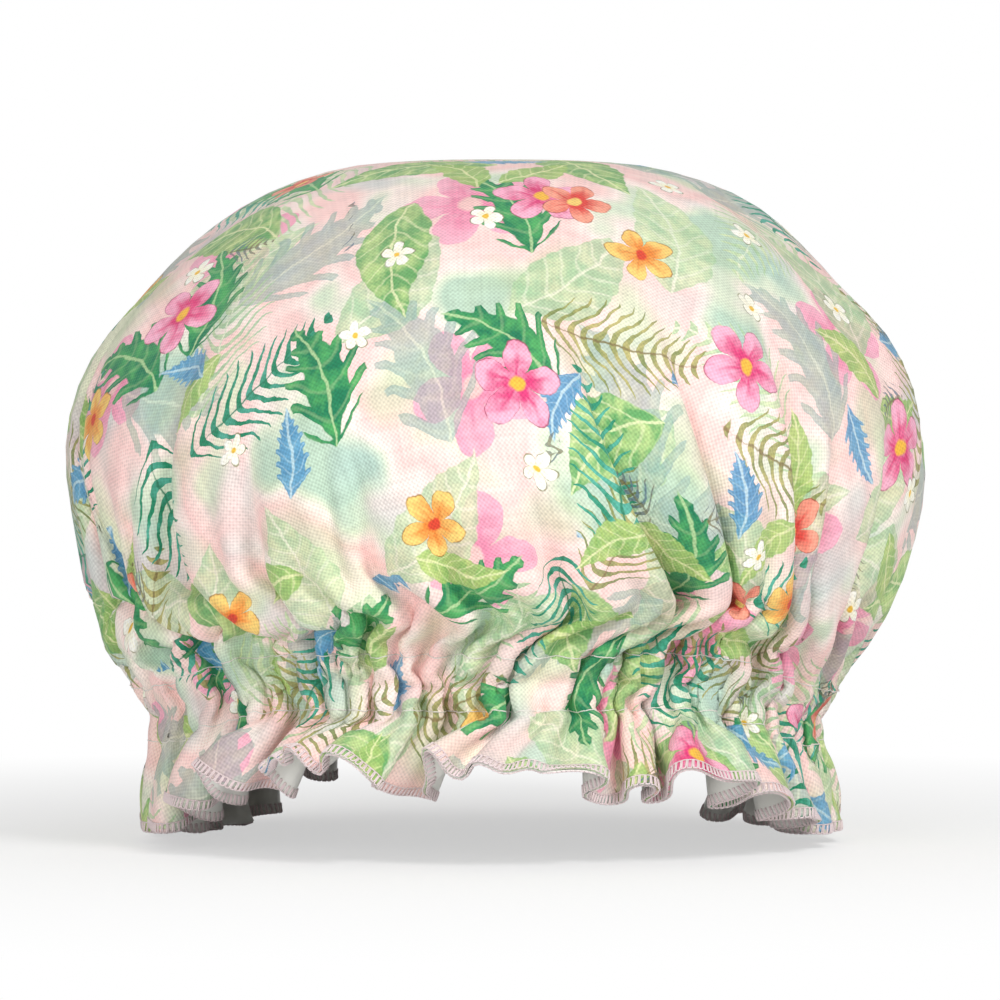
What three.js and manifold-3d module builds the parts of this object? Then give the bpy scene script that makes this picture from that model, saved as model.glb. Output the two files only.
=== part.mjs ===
// A gathered shower cap. Two discs of the same cut, a printed linen cover and a waterproof
// lining, are drawn in by an elastic band that runs in a stitched casing. What hangs below the
// casing is the frill, and its raw edge is overlocked with three threads.
// Millimetres, +Z up. The cap stands on its frill with the opening down and its front facing -Y.
// The origin is on the floor, under the middle of the crown.

import * as THREE from 'three';
import * as BufferGeometryUtils from 'three/addons/utils/BufferGeometryUtils.js';
import Module from 'manifold-3d';

const wasm = await Module();
wasm.setup();

// Dome, over the linen's outer face
const domeWidth = 250;
const domeDepth = 266;
const capHeight = 198;
const widestHeight = 113;
const crownFullness = 2.15; // 2 is an ellipse, and more is flatter on top

// Casing, over the linen at the stitching. The sides hang lower than the front and the back. The
// elastic draws the middle of the casing in, and the two layers of cloth puff out on its two sides.
const openingWidth = 194;
const openingDepth = 212;
const casingWidth = 16;
const lowerStitchHeight = 25.5;
const casingLift = 17.5;
const casingIndraw = 2;
const linenPuff = 1.4;
const liningPuff = 3.6;
const casingRipple = 1.8;

// Haunch, the row of the cloth where the dome turns in to the casing
const haunchHeight = 62.5;
const haunchLift = 10;
const haunchRipple = 2.2;
const haunchInsetShare = 0.4;

// Frill. Its folds swing out and in by frillFold, and the hem of the inward ones hangs less low.
const foldCount = 20;
const frillLift = 20.5;
const frillIndraw = 4;
const frillFold = 9;
const hemArch = 2.6;

// Ripples of the haunch, the casing and the frill aren't alike: their depth and their place vary
// by these shares, and so many times on the way round.
const unevenDepthShare = 0.25;
const unevenPlaceShare = 0.17;
const [depthWaves, placeWaves] = [7, 11];

// Main folds of the dome, each as [degrees at the widest level, degrees at the haunch, share of
// the depth]. Degrees run from the middle of the front towards +X.
const mainFoldDepth = 8;
const mainFoldHalfAngle = 7;
const mainFoldShares = [
  [-72, -54, 1], [-36, -27, 0.4], [-18, -9, 0.85], [9, 9, 0.6], [27, 27, 0.8], [45, 45, 1],
  [63, 63, 0.9], [81, 72, 0.4], [108, 108, 0.8], [126, 126, 0.6], [144, 144, 0.9],
  [171, 162, 0.7], [-162, -153, 0.6], [-144, -135, 0.9], [-126, -117, 0.7], [-108, -99, 0.8],
];

// Where the casing and the hem start to rise and have risen, as shares of the half depth
const casingFrontShares = [0.2, 0.9];
const casingBackShares = [0.4, 0.95];
const hemFrontShares = [0.36, 0.72];
const hemBackShares = [0.62, 0.84];

// How much of a ripple's length its crest takes: in the gathered casing, and in the frill
const casingCrestShare = 0.5;
const frillCrestShare = 0.55;

// Rows of cloth above the widest level: shares of its half width, and of a main fold's depth
const crownRadiusShares = [0.35, 0.66, 0.9, 1];
const crownFoldShares = [0, 0.05, 0.25, 0.5];

// Cloth, elastic and thread
const linenThickness = 0.5;
const liningThickness = 0.25;
const layerGap = 0.3;
const bandWidth = 8;
const bandThickness = 1;
const threadThickness = 0.35;
const overlockWidth = 2.6;
const edgeSetback = 0.8;
const restCut = 0.5;
const tackLength = 4.4;
const tackWidth = 5;
const tackPoints = 7;

const linenFace = layerGap / 2 + linenThickness;
const liningFace = layerGap / 2 + liningThickness;
const halfThread = threadThickness / 2;
const domeHalfWidth = domeWidth / 2 - linenFace;
const domeHalfDepth = domeDepth / 2 - linenFace;
const openingHalfWidth = openingWidth / 2 - linenFace;
const openingHalfDepth = openingDepth / 2 - linenFace;
const crownTop = capHeight - linenFace;
const middleColumns = 2 * foldCount;
const fineColumns = 4 * foldCount;
const edgeHeight = overlockWidth + 2 * layerGap + threadThickness;

// Rows of the cloth's middle surface. Each is an ellipse with ripples and main folds. The rows of
// the casing and the frill have two columns to each crest and trough, the haunch row has one.

function crownRow(share, index) {
  const rise = Math.pow(1 - Math.pow(share, crownFullness), 1 / crownFullness);
  return {
    columns: index < crownRadiusShares.length / 2 ? foldCount : middleColumns,
    halfWidth: share * domeHalfWidth,
    halfDepth: share * domeHalfDepth,
    height: widestHeight + (crownTop - widestHeight) * rise,
    lift: 0,
    ripple: 0,
    foldShare: crownFoldShares[index],
  };
}

function haunchRow() {
  return {
    columns: middleColumns,
    halfWidth: THREE.MathUtils.lerp(domeHalfWidth, openingHalfWidth, haunchInsetShare),
    halfDepth: THREE.MathUtils.lerp(domeHalfDepth, openingHalfDepth, haunchInsetShare),
    height: haunchHeight,
    lift: haunchLift,
    riseShares: [casingFrontShares, casingBackShares],
    ripple: haunchRipple,
    foldShare: 1,
  };
}

function casingRow(heightShare, indraw) {
  return {
    columns: fineColumns,
    halfWidth: openingHalfWidth - indraw,
    halfDepth: openingHalfDepth - indraw,
    height: lowerStitchHeight + heightShare * casingWidth,
    lift: casingLift,
    riseShares: [casingFrontShares, casingBackShares],
    ripple: casingRipple,
    crestShare: casingCrestShare,
  };
}

function frillRow(height) {
  return {
    columns: fineColumns,
    halfWidth: openingHalfWidth - frillIndraw,
    halfDepth: openingHalfDepth - frillIndraw,
    height,
    lift: frillLift,
    riseShares: [hemFrontShares, hemBackShares],
    ripple: frillFold,
    crestShare: frillCrestShare,
    arch: hemArch,
  };
}

const trimHeight = edgeSetback - restCut;
const rows = [
  ...crownRadiusShares.map(crownRow), haunchRow(),
  casingRow(1, 0), casingRow(1 / 2, casingIndraw), casingRow(0, 0),
  frillRow(trimHeight + edgeHeight), frillRow(trimHeight),
];
const upperStitchRow = crownRadiusShares.length + 1;
const casingMiddleRow = upperStitchRow + 1;
const lowerStitchRow = casingMiddleRow + 1;
const hemRow = rows.length - 1;

// How far a row is lifted: nothing along the low sides, all of its lift at the front and the back
function liftAt(angle, row) {
  if (!row.riseShares) return 0;
  const [frontShares, backShares] = row.riseShares;
  const back = -Math.cos(angle);
  return row.lift * (THREE.MathUtils.smoothstep(-back, ...frontShares)
    + THREE.MathUtils.smoothstep(back, ...backShares));
}

// Depth of the main folds at an angle. A crease leans from its upper to its lower angle.
function mainFoldAt(angle, row) {
  if (!row.foldShare) return 0;
  const drop = THREE.MathUtils.clamp(
    (widestHeight - row.height) / (widestHeight - haunchHeight), 0, 1);
  let depthShare = 0;
  for (const [upper, lower, share] of mainFoldShares) {
    const centre = THREE.MathUtils.degToRad(THREE.MathUtils.lerp(upper, lower, drop));
    const away = Math.atan2(Math.sin(angle - centre), Math.cos(angle - centre));
    const reach = away / THREE.MathUtils.degToRad(mainFoldHalfAngle);
    depthShare += share * Math.exp(-reach * reach * Math.LN2);
  }
  return mainFoldDepth * row.foldShare * depthShare;
}

// A point of the middle surface. Columns run from the middle of the front towards +X. Ripples
// stand out and in by turns, and where they have two columns, these lie either side of its middle.
function clothPoint(row, column) {
  const paired = row.columns === fineColumns;
  const ripple = paired ? Math.ceil(column / 2) : column;
  const roundShare = ripple / (paired ? middleColumns : row.columns);
  const uneven = (waves) => Math.sin(2 * Math.PI * waves * roundShare);
  const side = paired ? (column % 2 === 0 ? 1 : -1) * row.crestShare / 2 : 0;
  const shift = row.ripple ? side + unevenPlaceShare * uneven(placeWaves) : 0;
  const angle = 2 * Math.PI * (roundShare + shift / middleColumns);
  const outward = new THREE.Vector2(
    Math.sin(angle) / row.halfWidth, -Math.cos(angle) / row.halfDepth).normalize();
  const inwardRipple = ripple % 2 === 1;
  const depth = row.ripple * (1 + unevenDepthShare * uneven(depthWaves));
  const push = (inwardRipple ? -depth : depth) - mainFoldAt(angle, row);
  return new THREE.Vector3(
    row.halfWidth * Math.sin(angle) + push * outward.x,
    -row.halfDepth * Math.cos(angle) + push * outward.y,
    row.height + liftAt(angle, row) + (inwardRipple ? row.arch ?? 0 : 0));
}

// The middle surface as points, with each row's first point, and triangles between the rows. A
// row may have twice the columns of the row above it.
function clothNet() {
  const points = [new THREE.Vector3(0, 0, crownTop)];
  const starts = [];
  for (const row of rows) {
    starts.push(points.length);
    for (let k = 0; k < row.columns; k++) points.push(clothPoint(row, k));
  }
  const triangles = [];
  for (let k = 0; k < rows[0].columns; k++) {
    triangles.push([0, starts[0] + k, starts[0] + (k + 1) % rows[0].columns]);
  }
  for (let r = 0; r < hemRow; r++) {
    const up = (k) => starts[r] + k % rows[r].columns;
    const down = (k) => starts[r + 1] + k % rows[r + 1].columns;
    for (let k = 0; k < rows[r].columns; k++) {
      const doubled = rows[r + 1].columns > rows[r].columns;
      const under = doubled ? 2 * k : k;
      if (doubled) triangles.push([up(k), down(under + rows[r + 1].columns - 1), down(under)]);
      triangles.push([up(k), down(under), down(under + 1)], [up(k), down(under + 1), up(k + 1)]);
    }
  }
  return { points, starts, triangles };
}

// For each point the vector that moves it out by one unit, measured square to the faces round
// it. A face counts by its angle at the point, so it doesn't matter how a flat part is split.
function wallVectors(points, triangles) {
  const sums = points.map(() => new THREE.Vector3());
  const turns = points.map(() => 0);
  for (const corners of triangles) {
    const normal = new THREE.Triangle(...corners.map((p) => points[p])).getNormal(new THREE.Vector3());
    corners.forEach((p, i) => {
      const toNext = points[corners[(i + 1) % 3]].clone().sub(points[p]);
      const toLast = points[corners[(i + 2) % 3]].clone().sub(points[p]);
      const turn = toNext.angleTo(toLast);
      sums[p].addScaledVector(normal, turn);
      turns[p] += turn;
    });
  }
  return sums.map((sum, p) => sum.clone().multiplyScalar(turns[p] / sum.lengthSq()));
}

const net = clothNet();
const walls = wallVectors(net.points, net.triangles);

// A point on a row, between two columns where the position has a fraction, moved up and out. On
// the way up or down the wall's direction turns to that of the next row with the same columns.
function placeOn(row, position, up, out) {
  const next = up > 0 ? row - 1 : row + 1;
  const meets = rows[next]?.columns === rows[row].columns;
  const upShare = meets ? Math.abs(up / (rows[next].height - rows[row].height)) : 0;
  const [before, share] = [Math.floor(position), position - Math.floor(position)];
  const [a, b] = [before, before + 1].map((k) => k % rows[row].columns);
  const wallOn = (k) => walls[net.starts[row] + k].clone()
    .lerp(walls[net.starts[meets ? next : row] + k], upShare);
  const point = net.points[net.starts[row] + a].clone().lerp(net.points[net.starts[row] + b], share);
  point.addScaledVector(wallOn(a).lerp(wallOn(b), share), out);
  point.z += up;
  return point;
}

function closedGeometry(points, triangles) {
  const geometry = new THREE.BufferGeometry();
  geometry.setAttribute('position', new THREE.Float32BufferAttribute(
    points.flatMap((p) => [p.x, p.y, p.z]), 3));
  geometry.setIndex(triangles.flat());
  return geometry;
}

// A sheet of cloth: a closed wall between two offsets from the middle surface. The puff is added
// along the middle of the casing, and the hem hangs lower by overhang.
function sheetGeometry(nearOffset, farOffset, puff, overhang) {
  const count = net.points.length;
  const faceAt = (offset) => net.points.map((point, p) => {
    const puffs = p >= net.starts[casingMiddleRow] && p < net.starts[lowerStitchRow];
    const moved = point.clone().addScaledVector(walls[p], offset + (puffs ? puff : 0));
    if (p >= net.starts[hemRow]) moved.z -= overhang;
    return moved;
  });
  const triangles = net.triangles.flatMap(([a, b, c]) => [
    [a, b, c], [a + count, c + count, b + count],
  ]);
  for (let k = 0; k < fineColumns; k++) {
    const [a, b] = [net.starts[hemRow] + k, net.starts[hemRow] + (k + 1) % fineColumns];
    triangles.push([a, a + count, b + count], [a, b + count, b]);
  }
  if (farOffset < nearOffset) triangles.forEach((corners) => corners.reverse());
  return closedGeometry([...faceAt(farOffset), ...faceAt(nearOffset)], triangles);
}

// A strip with four corners to its section, along a row of the cloth. It lies between two
// heights over the row and two offsets from the middle surface. Its positions are columns of the
// row, and it has ends unless they go all the way round.
function stripGeometry(row, positions, lowHeight, highHeight, offsetA, offsetB) {
  const [near, far] = [Math.min(offsetA, offsetB), Math.max(offsetA, offsetB)];
  const corners = [[lowHeight, near], [highHeight, near], [highHeight, far], [lowHeight, far]];
  const points = positions.flatMap((p) => corners.map(([up, out]) => placeOn(row, p, up, out)));
  const sides = corners.length;
  const closes = positions.length === fineColumns;
  const triangles = [];
  for (let k = 0; k < positions.length - (closes ? 0 : 1); k++) {
    for (let c = 0; c < sides; c++) {
      const [a, b] = [k * sides + c, k * sides + (c + 1) % sides];
      const step = ((k + 1) % positions.length - k) * sides;
      triangles.push([a, b, b + step], [a, b + step, a + step]);
    }
  }
  if (!closes) {
    const last = points.length - sides;
    triangles.push([0, 2, 1], [0, 3, 2], [last, last + 1, last + 2], [last, last + 2, last + 3]);
  }
  return closedGeometry(points, triangles);
}

const allColumns = Array.from({ length: fineColumns }, (_, k) => k);

function solidOf(geometry) {
  const plain = geometry.clone();
  plain.deleteAttribute('normal');
  plain.deleteAttribute('uv');
  const merged = BufferGeometryUtils.mergeVertices(plain);
  return new wasm.Manifold(new wasm.Mesh({
    numProp: 3,
    vertProperties: new Float32Array(merged.attributes.position.array),
    triVerts: new Uint32Array(merged.index.array),
  }));
}

function geometryOf(solid) {
  const mesh = solid.getMesh();
  const geometry = new THREE.BufferGeometry();
  geometry.setAttribute('position', new THREE.BufferAttribute(mesh.vertProperties, 3));
  geometry.setIndex(Array.from(mesh.triVerts));
  return geometry;
}

// The linen cover. Its hem is cut flat where it stands on the floor.
function outerCover() {
  const block = new THREE.BoxGeometry(domeWidth, domeDepth, casingWidth);
  block.translate(0, 0, -casingWidth / 2);
  const sheet = sheetGeometry(layerGap / 2, linenFace, linenPuff, edgeSetback);
  return geometryOf(solidOf(sheet).subtract(solidOf(block)));
}

// The lining has the same cut, inside the linen
function waterproofLining() {
  return sheetGeometry(-layerGap / 2, -liningFace, -liningPuff, 0);
}

// The elastic's ends meet halfway between the middle column of the back and the next one
const joinPosition = middleColumns + 1 / 2;
const joinColumnLength = placeOn(casingMiddleRow, middleColumns, 0, 0)
  .distanceTo(placeOn(casingMiddleRow, middleColumns + 1, 0, 0));

function elasticBand() {
  const endShare = layerGap / 2 / joinColumnLength;
  const positions = [
    joinPosition + endShare, ...allColumns.map((k) => middleColumns + 1 + k),
    joinPosition + fineColumns - endShare,
  ];
  return stripGeometry(casingMiddleRow, positions, -bandWidth / 2, bandWidth / 2,
    -bandThickness / 2, bandThickness / 2);
}

// A zigzag of thread across the elastic's join, on its outer face
function elasticJoinStitches() {
  const out = bandThickness / 2 + layerGap + halfThread;
  const places = [];
  for (let i = 0; i < tackPoints; i++) {
    const along = tackLength * (i / (tackPoints - 1) - 1 / 2);
    const up = (i % 2 === 0 ? 1 : -1) * (tackWidth / 2 - halfThread);
    places.push(placeOn(casingMiddleRow, joinPosition + along / joinColumnLength, up, out));
  }
  const section = new THREE.Shape([
    new THREE.Vector2(-halfThread, -halfThread), new THREE.Vector2(halfThread, -halfThread),
    new THREE.Vector2(halfThread, halfThread), new THREE.Vector2(-halfThread, halfThread),
  ]);
  const path = new THREE.CatmullRomCurve3(places, false, 'centripetal');
  return new THREE.ExtrudeGeometry(section, {
    steps: 4 * tackPoints, extrudePath: path, bevelEnabled: false,
  });
}

// A row of lockstitch is a needle thread on the linen and a bobbin thread on the lining
function stitchThread(row, clothFace) {
  const near = clothFace + Math.sign(clothFace) * layerGap;
  const far = near + Math.sign(clothFace) * threadThickness;
  return stripGeometry(row, allColumns, -halfThread, halfThread, near, far);
}

// The overlock: loopers over both faces of the edge, and a needle thread along their top
function overlockLooper(clothFace) {
  const near = clothFace + Math.sign(clothFace) * layerGap;
  const far = near + Math.sign(clothFace) * threadThickness;
  return stripGeometry(hemRow, allColumns, 0, overlockWidth, near, far);
}

function overlockNeedleThread() {
  const low = overlockWidth + layerGap;
  const near = linenFace + layerGap;
  return stripGeometry(hemRow, allColumns, low, low + threadThickness, near, near + threadThickness);
}

const linen = new THREE.MeshStandardMaterial({ color: 0xd9d8bf, roughness: 0.9, metalness: 0 });
const membrane = new THREE.MeshStandardMaterial({ color: 0xe6e7e2, roughness: 0.45, metalness: 0 });
const elastic = new THREE.MeshStandardMaterial({ color: 0xf4f3ee, roughness: 0.85, metalness: 0 });
const paleThread = new THREE.MeshStandardMaterial({ color: 0xf1ebe4, roughness: 0.7, metalness: 0 });
const pinkThread = new THREE.MeshStandardMaterial({ color: 0xe9c6cc, roughness: 0.7, metalness: 0 });

const cap = new THREE.Group();

function add(name, geometry, material) {
  const mesh = new THREE.Mesh(geometry, material);
  mesh.name = name;
  cap.add(mesh);
}

add('outer_cover', outerCover(), linen);
add('waterproof_lining', waterproofLining(), membrane);
add('elastic_band', elasticBand(), elastic);
add('elastic_join_stitches', elasticJoinStitches(), paleThread);
add('casing_upper_needle_thread', stitchThread(upperStitchRow, linenFace), paleThread);
add('casing_upper_bobbin_thread', stitchThread(upperStitchRow, -liningFace), paleThread);
add('casing_lower_needle_thread', stitchThread(lowerStitchRow, linenFace), paleThread);
add('casing_lower_bobbin_thread', stitchThread(lowerStitchRow, -liningFace), paleThread);
add('edge_overlock_upper_looper', overlockLooper(linenFace), pinkThread);
add('edge_overlock_lower_looper', overlockLooper(-liningFace), pinkThread);
add('edge_overlock_needle_thread', overlockNeedleThread(), pinkThread);

export default cap;
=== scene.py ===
# %% [markdown]
# A gathered shower cap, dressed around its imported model.
# The real cap is two discs of the same cut, printed linen outside and a whitish waterproof lining
# inside. An elastic band in a stitched casing draws them in, and a frill with an overlocked edge
# hangs below the casing. So the scene starts from the flat cut: every point of the cloth is given
# by its distance from the middle of the disc and its turn round it, and one grid of points says
# where it lies on the gathered cap. Print, weave and stitches then follow the cloth by themselves.

# %% The frame and its size
from functools import partial

import bpy
import numpy as np
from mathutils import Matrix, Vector


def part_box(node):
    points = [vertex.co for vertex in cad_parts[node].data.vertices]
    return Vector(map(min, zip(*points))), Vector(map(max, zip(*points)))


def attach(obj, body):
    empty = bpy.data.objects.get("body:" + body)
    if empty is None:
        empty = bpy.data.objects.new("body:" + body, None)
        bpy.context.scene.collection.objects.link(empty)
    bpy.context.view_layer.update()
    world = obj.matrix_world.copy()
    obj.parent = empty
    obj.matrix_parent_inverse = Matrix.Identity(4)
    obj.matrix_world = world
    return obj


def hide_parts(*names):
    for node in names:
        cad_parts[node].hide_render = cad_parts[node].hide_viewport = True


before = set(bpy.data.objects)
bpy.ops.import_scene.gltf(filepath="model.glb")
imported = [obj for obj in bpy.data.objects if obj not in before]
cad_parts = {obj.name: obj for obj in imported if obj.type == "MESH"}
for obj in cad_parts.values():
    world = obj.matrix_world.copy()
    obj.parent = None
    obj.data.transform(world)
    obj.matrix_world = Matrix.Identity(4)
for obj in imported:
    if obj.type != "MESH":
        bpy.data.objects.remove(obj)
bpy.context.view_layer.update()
millimetre = 0.001

# %% [markdown]
# Every length below is in millimetres, and a mesh is turned to metres when it is made. The width,
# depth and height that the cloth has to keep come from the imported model.

# %% Sizes
cover_low, cover_high = [np.array(corner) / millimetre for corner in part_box("outer_cover")]
half_width = (cover_high[0] - cover_low[0]) / 2
half_depth = (cover_high[1] - cover_low[1]) / 2
crown_height = cover_high[2]
CUT_RADIUS = 280.0
BAND_WIDTH = 8.0
BAND_THICKNESS = 1.0
LINEN_THICKNESS = 0.5
LINING_THICKNESS = 0.25
LAYER_GAP = 0.3
THREAD_THICKNESS = 0.35
print("half width, half depth, height:", half_width, half_depth, crown_height)


# %% [markdown]
# A smooth curve through a few given values serves for every quantity that changes from the
# middle of the cut to its edge, and a smooth random wave keeps the folds from being all alike.

# %% Smooth curves and random waves
def smooth_through(knots, values, x):
    """Cubic through the values at the knots, with the slope of the neighbours at each knot."""
    knots, values = np.asarray(knots, float), np.asarray(values, float)
    slopes = np.gradient(values, knots)
    k = np.clip(np.searchsorted(knots, x) - 1, 0, len(knots) - 2)
    gap = knots[k + 1] - knots[k]
    f = (x - knots[k]) / gap
    return (
        values[k] * (1 + 2 * f) * (1 - f) ** 2
        + values[k + 1] * f**2 * (3 - 2 * f)
        + slopes[k] * gap * f * (1 - f) ** 2
        - slopes[k + 1] * gap * f**2 * (1 - f)
    )


def smoothstep(low, high, x):
    """0 below low, 1 above high, and an even ease between them."""
    f = np.clip((x - low) / (high - low), 0, 1)
    return f * f * (3 - 2 * f)


def blurred(values, turns):
    """Values round a circle, smoothed over a share of a turn along their last axis."""
    count = values.shape[-1]
    waves = np.fft.rfftfreq(count, 1 / count)
    fading = np.exp(-0.5 * (2 * np.pi * waves * turns) ** 2)
    return np.fft.irfft(np.fft.rfft(values) * fading, count)


WAVE_SAMPLES = 2048  # points round the circle at which a random wave is drawn


def random_wave(seed, turns, around):
    """A smooth random value round the circle, with mean 0 and deviation 1."""
    noise = blurred(np.random.default_rng(seed).normal(size=WAVE_SAMPLES), turns)
    noise = (noise - noise.mean()) / noise.std()
    knots = np.arange(WAVE_SAMPLES + 1) / WAVE_SAMPLES
    return np.interp(around % 1, knots, np.append(noise, noise[0]))


print("helpers for smooth curves and random waves are ready")

# %% [markdown]
# Seen from the front the cap is a dome, widest above its middle, that draws in to the casing and
# opens again in the frill. Its outline could be drawn as a curve, but a curve doesn't say how much
# cloth it takes. So the outline is given along the cloth: for some places on the way from the
# middle of the cut to its edge, tables say how wide, how high and how full the gathered cap is.

# %% The profile of the cap
# Shares of the way from the middle of the cut to its edge, where the profile is given. The upper
# and the lower row of stitching lie at the places 0.847 and 0.915.
UPPER_STITCH, LOWER_STITCH = 0.847, 0.915
places = [0, .084, .161, .235, .315, .391, .459, .525, .582, .656, .728, .790, UPPER_STITCH, .885,
          LOWER_STITCH, .942, .974, 1]
half_width_shares = [0, .192, .368, .528, .68, .808, .908, .972, .994, .966, .92, .868, .794, .735,
                     .756, .772, .782, .776]
height_shares = [1, .998, .987, .952, .889, .813, .737, .652, .571, .465, .364, .283, .21, .166, .126,
                 .09, .045, .008]
# How far the front and the back are lifted above the sides, in millimetres
lifts = [0, 0, 0, 0, 0, 0, 0, 0, 0, 1, 6, 13, 18, 18.5, 18.5, 20.5, 23.5, 27]
# How far the frill stands away from its ring at the front and the back, in millimetres
flares = [0, 0, 0, 0, 0, 0, 0, 0, 0, 0, 0, 0, 0, 0, 0, 3, 8, 12]
# How far the sides are lifted above the low places, which lie to either side of the back
side_lifts = [0, 0, 0, 0, 0, 0, 0, 0, 0, 0, 1, 3, 4.5, 4.5, 4.5, 5, 6, 7]
# How far the gathered part hangs to the left of the dome, in millimetres
sidesteps = [0, 0, 0, 0, 0, 0, 0, 0, 0, .6, 2, 3.4, 3.8, 3.8, 3.8, 3, 2.4, 2]
# Depth of the soft dents in the dome, in millimetres
dent_depths = [0, 0, .2, .7, 1.1, 1.3, 1.3, 1.1, .8, .4, .1, 0, 0, 0, 0, 0, 0, 0]
# Length of cloth for each unit of length of the ring that it is gathered to
fullness = [1, 1, 1, 1, 1, 1.005, 1.02, 1.06, 1.14, 1.34, 1.57, 1.79, 2.02, 2.07, 2.11, 2.19, 2.4,
            2.7]
# How much of that length goes into the fine pleats, the wider gathers that they come together in
# above the casing, the long creases of the dome, and the broad waves of the frill
pleat_weights = [0, 0, 0, 0, 0, 0, 0, 0, 0, .15, .45, .8, 1, 1, 1, .7, .4, .2]
gather_weights = [0, 0, 0, 0, 0, 0, .2, .3, .4, .5, .5, .4, .3, .2, .2, .2, .1, 0]
crease_weights = [0, 0, 0, 0, 0, 1, 1, 1, 1, 1, .9, .7, .45, .2, .1, 0, 0, 0]
wave_weights = [0, 0, 0, 0, 0, 0, 0, 0, 0, 0, .1, .2, .3, .4, .45, .8, 1, 1]
print("profile:", len(places), "places, fullest", max(fullness))

# %% The grid of the cloth
COLUMNS = 704
DOME_ROWS, SKIRT_ROWS, CASING_ROWS, FRILL_ROWS = 22, 16, 12, 18
FIRST_PLACE, SKIRT_PLACE = 0.02, 0.70
row_places = np.concatenate([
    np.linspace(FIRST_PLACE, SKIRT_PLACE, DOME_ROWS, endpoint=False),
    np.linspace(SKIRT_PLACE, UPPER_STITCH, SKIRT_ROWS, endpoint=False),
    np.linspace(UPPER_STITCH, LOWER_STITCH, CASING_ROWS, endpoint=False),
    np.linspace(LOWER_STITCH, 1, FRILL_ROWS),
])
ROWS = len(row_places)
UPPER_STITCH_ROW = DOME_ROWS + SKIRT_ROWS
LOWER_STITCH_ROW = UPPER_STITCH_ROW + CASING_ROWS
around = np.arange(COLUMNS) / COLUMNS


def by_row(values):
    """One value for each row of the grid, as a column of an array."""
    return smooth_through(places, values, row_places)[:, None]


ring_half_width = by_row(half_width_shares) * half_width
extra_depth = (half_depth - half_width) * smoothstep(0, 0.5, row_places)[:, None]
ring_half_depth = ring_half_width + extra_depth
ring_height = by_row(height_shares) * crown_height
print("grid:", ROWS, "rows of", COLUMNS)

# %% [markdown]
# A gathered row is longer than the ring that holds it, so it has to swing to and fro. If the
# cloth's heading against the ring is known all the way round, the row follows by adding up short
# steps, and the mean cosine of the heading says how much length is taken up. So the heading is
# given a shape, of narrow pleats and broad waves, and its swing is solved for the length wanted.

# %% Where the folds are
# Degrees from the middle of the front towards +X: the narrow folds between the waves of the frill
wave_folds = [-176, -162, -147, -131, -117, -103, -90, -77, -64, -51, -38, -7.5, 20, 27, 44, 55, 66,
              80, 95, 110, 126, 143, 159]
PLEAT_DEGREES = 4.6  # round the casing, for one pleat
GATHER_DEGREES = 9.5  # round the casing, for one gather
FOLD_EASE = 0.004  # share of a turn over which the spacing of the folds changes
PHASE_STEPS = 4096


def fold_phase(angles, counts):
    """A phase that grows by counts[k] from fold k to the next, smooth round the circle."""
    knots = np.array([*angles, angles[0] + 360]) / 360
    phase = np.concatenate([[0], np.cumsum(counts)])
    fine = np.linspace(0, 1, PHASE_STEPS + 1)[:-1] + knots[0]
    trend = (fine - knots[0]) * phase[-1]
    smooth = blurred(np.interp(fine, knots, phase) - trend, FOLD_EASE) + trend

    def at(turn):
        whole = np.floor(turn - knots[0])
        return np.interp(turn - whole, fine, smooth) + whole * phase[-1]

    return at


def folds_between(degrees):
    """A whole number of folds in each wave, each about so many degrees wide."""
    return np.maximum(1, np.round(np.diff([*wave_folds, wave_folds[0] + 360]) / degrees))


wave_phase = fold_phase(wave_folds, np.ones(len(wave_folds)))
gather_phase = fold_phase(wave_folds, folds_between(GATHER_DEGREES))
pleat_phase = fold_phase(wave_folds, folds_between(PLEAT_DEGREES))
print("waves:", len(wave_folds), "pleats:", int(folds_between(PLEAT_DEGREES).sum()))

# %% [markdown]
# A few long creases run from the casing up into the dome, and some panels of cloth between them
# hang over their neighbours. They could be sculpted on the finished dome, but a crease that takes
# up no cloth looks painted on. So each is one more swing of the cloth's heading: out and back, by
# the slope of a bell curve, and steeper on the side that is tucked under.

# %% The long creases of the dome
# Degrees at the widest level, degrees at the casing, strength, and half width in millimetres
creases = [
    (-88, -64, 1.6, 6), (-78, -52, 3.0, 8), (-50, -41, 1.6, 6), (-34, -31, .6, 6), (-18, -14, 1.2, 6),
    (-4, -3, .4, 5), (12, 19, 1.6, 6), (27, 30, 2.8, 6), (44, 46, 2.8, 6), (51, 56, 1.4, 5),
    (68, 66, 1.0, 6), (84, 80, 1.0, 7), (108, 108, 1.8, 7), (126, 126, .6, 6), (144, 144, 2.0, 7),
    (171, 162, 1.0, 6), (-162, -153, 1.6, 6), (-144, -135, 2.2, 7), (-126, -117, .8, 6),
    (-108, -99, 1.8, 7),
]
# The places where the creases begin, and where their sides have become fully different
CREASE_TOP, STEEP_PLACE = 0.5, 0.68
# Shares of a crease's half width on the side of the front's middle, and on the other
STEEP_SHARE, GENTLE_SHARE = 0.5, 1.4
steepness = smoothstep(CREASE_TOP, STEEP_PLACE, row_places)[:, None]
fall = smoothstep(CREASE_TOP, UPPER_STITCH, row_places)[:, None]
crease = np.zeros((ROWS, COLUMNS))
for upper, lower, strength, width in creases:
    away = 2 * np.pi * around[None] - np.radians(upper + (lower - upper) * fall)
    away = np.arctan2(np.sin(away), np.cos(away)) * ring_half_width / width
    side_share = 1 + (np.where(away * upper < 0, STEEP_SHARE, GENTLE_SHARE) - 1) * steepness
    away = away / side_share
    # The half in the exponent brings the highest value to 1
    crease += strength / side_share * away * np.exp(0.5 - away**2 / 2)
print("creases:", len(creases))

# %% The shape of the heading
LEAN = 0.00003  # turns that a pleat leans for each millimetre down the cloth
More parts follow.
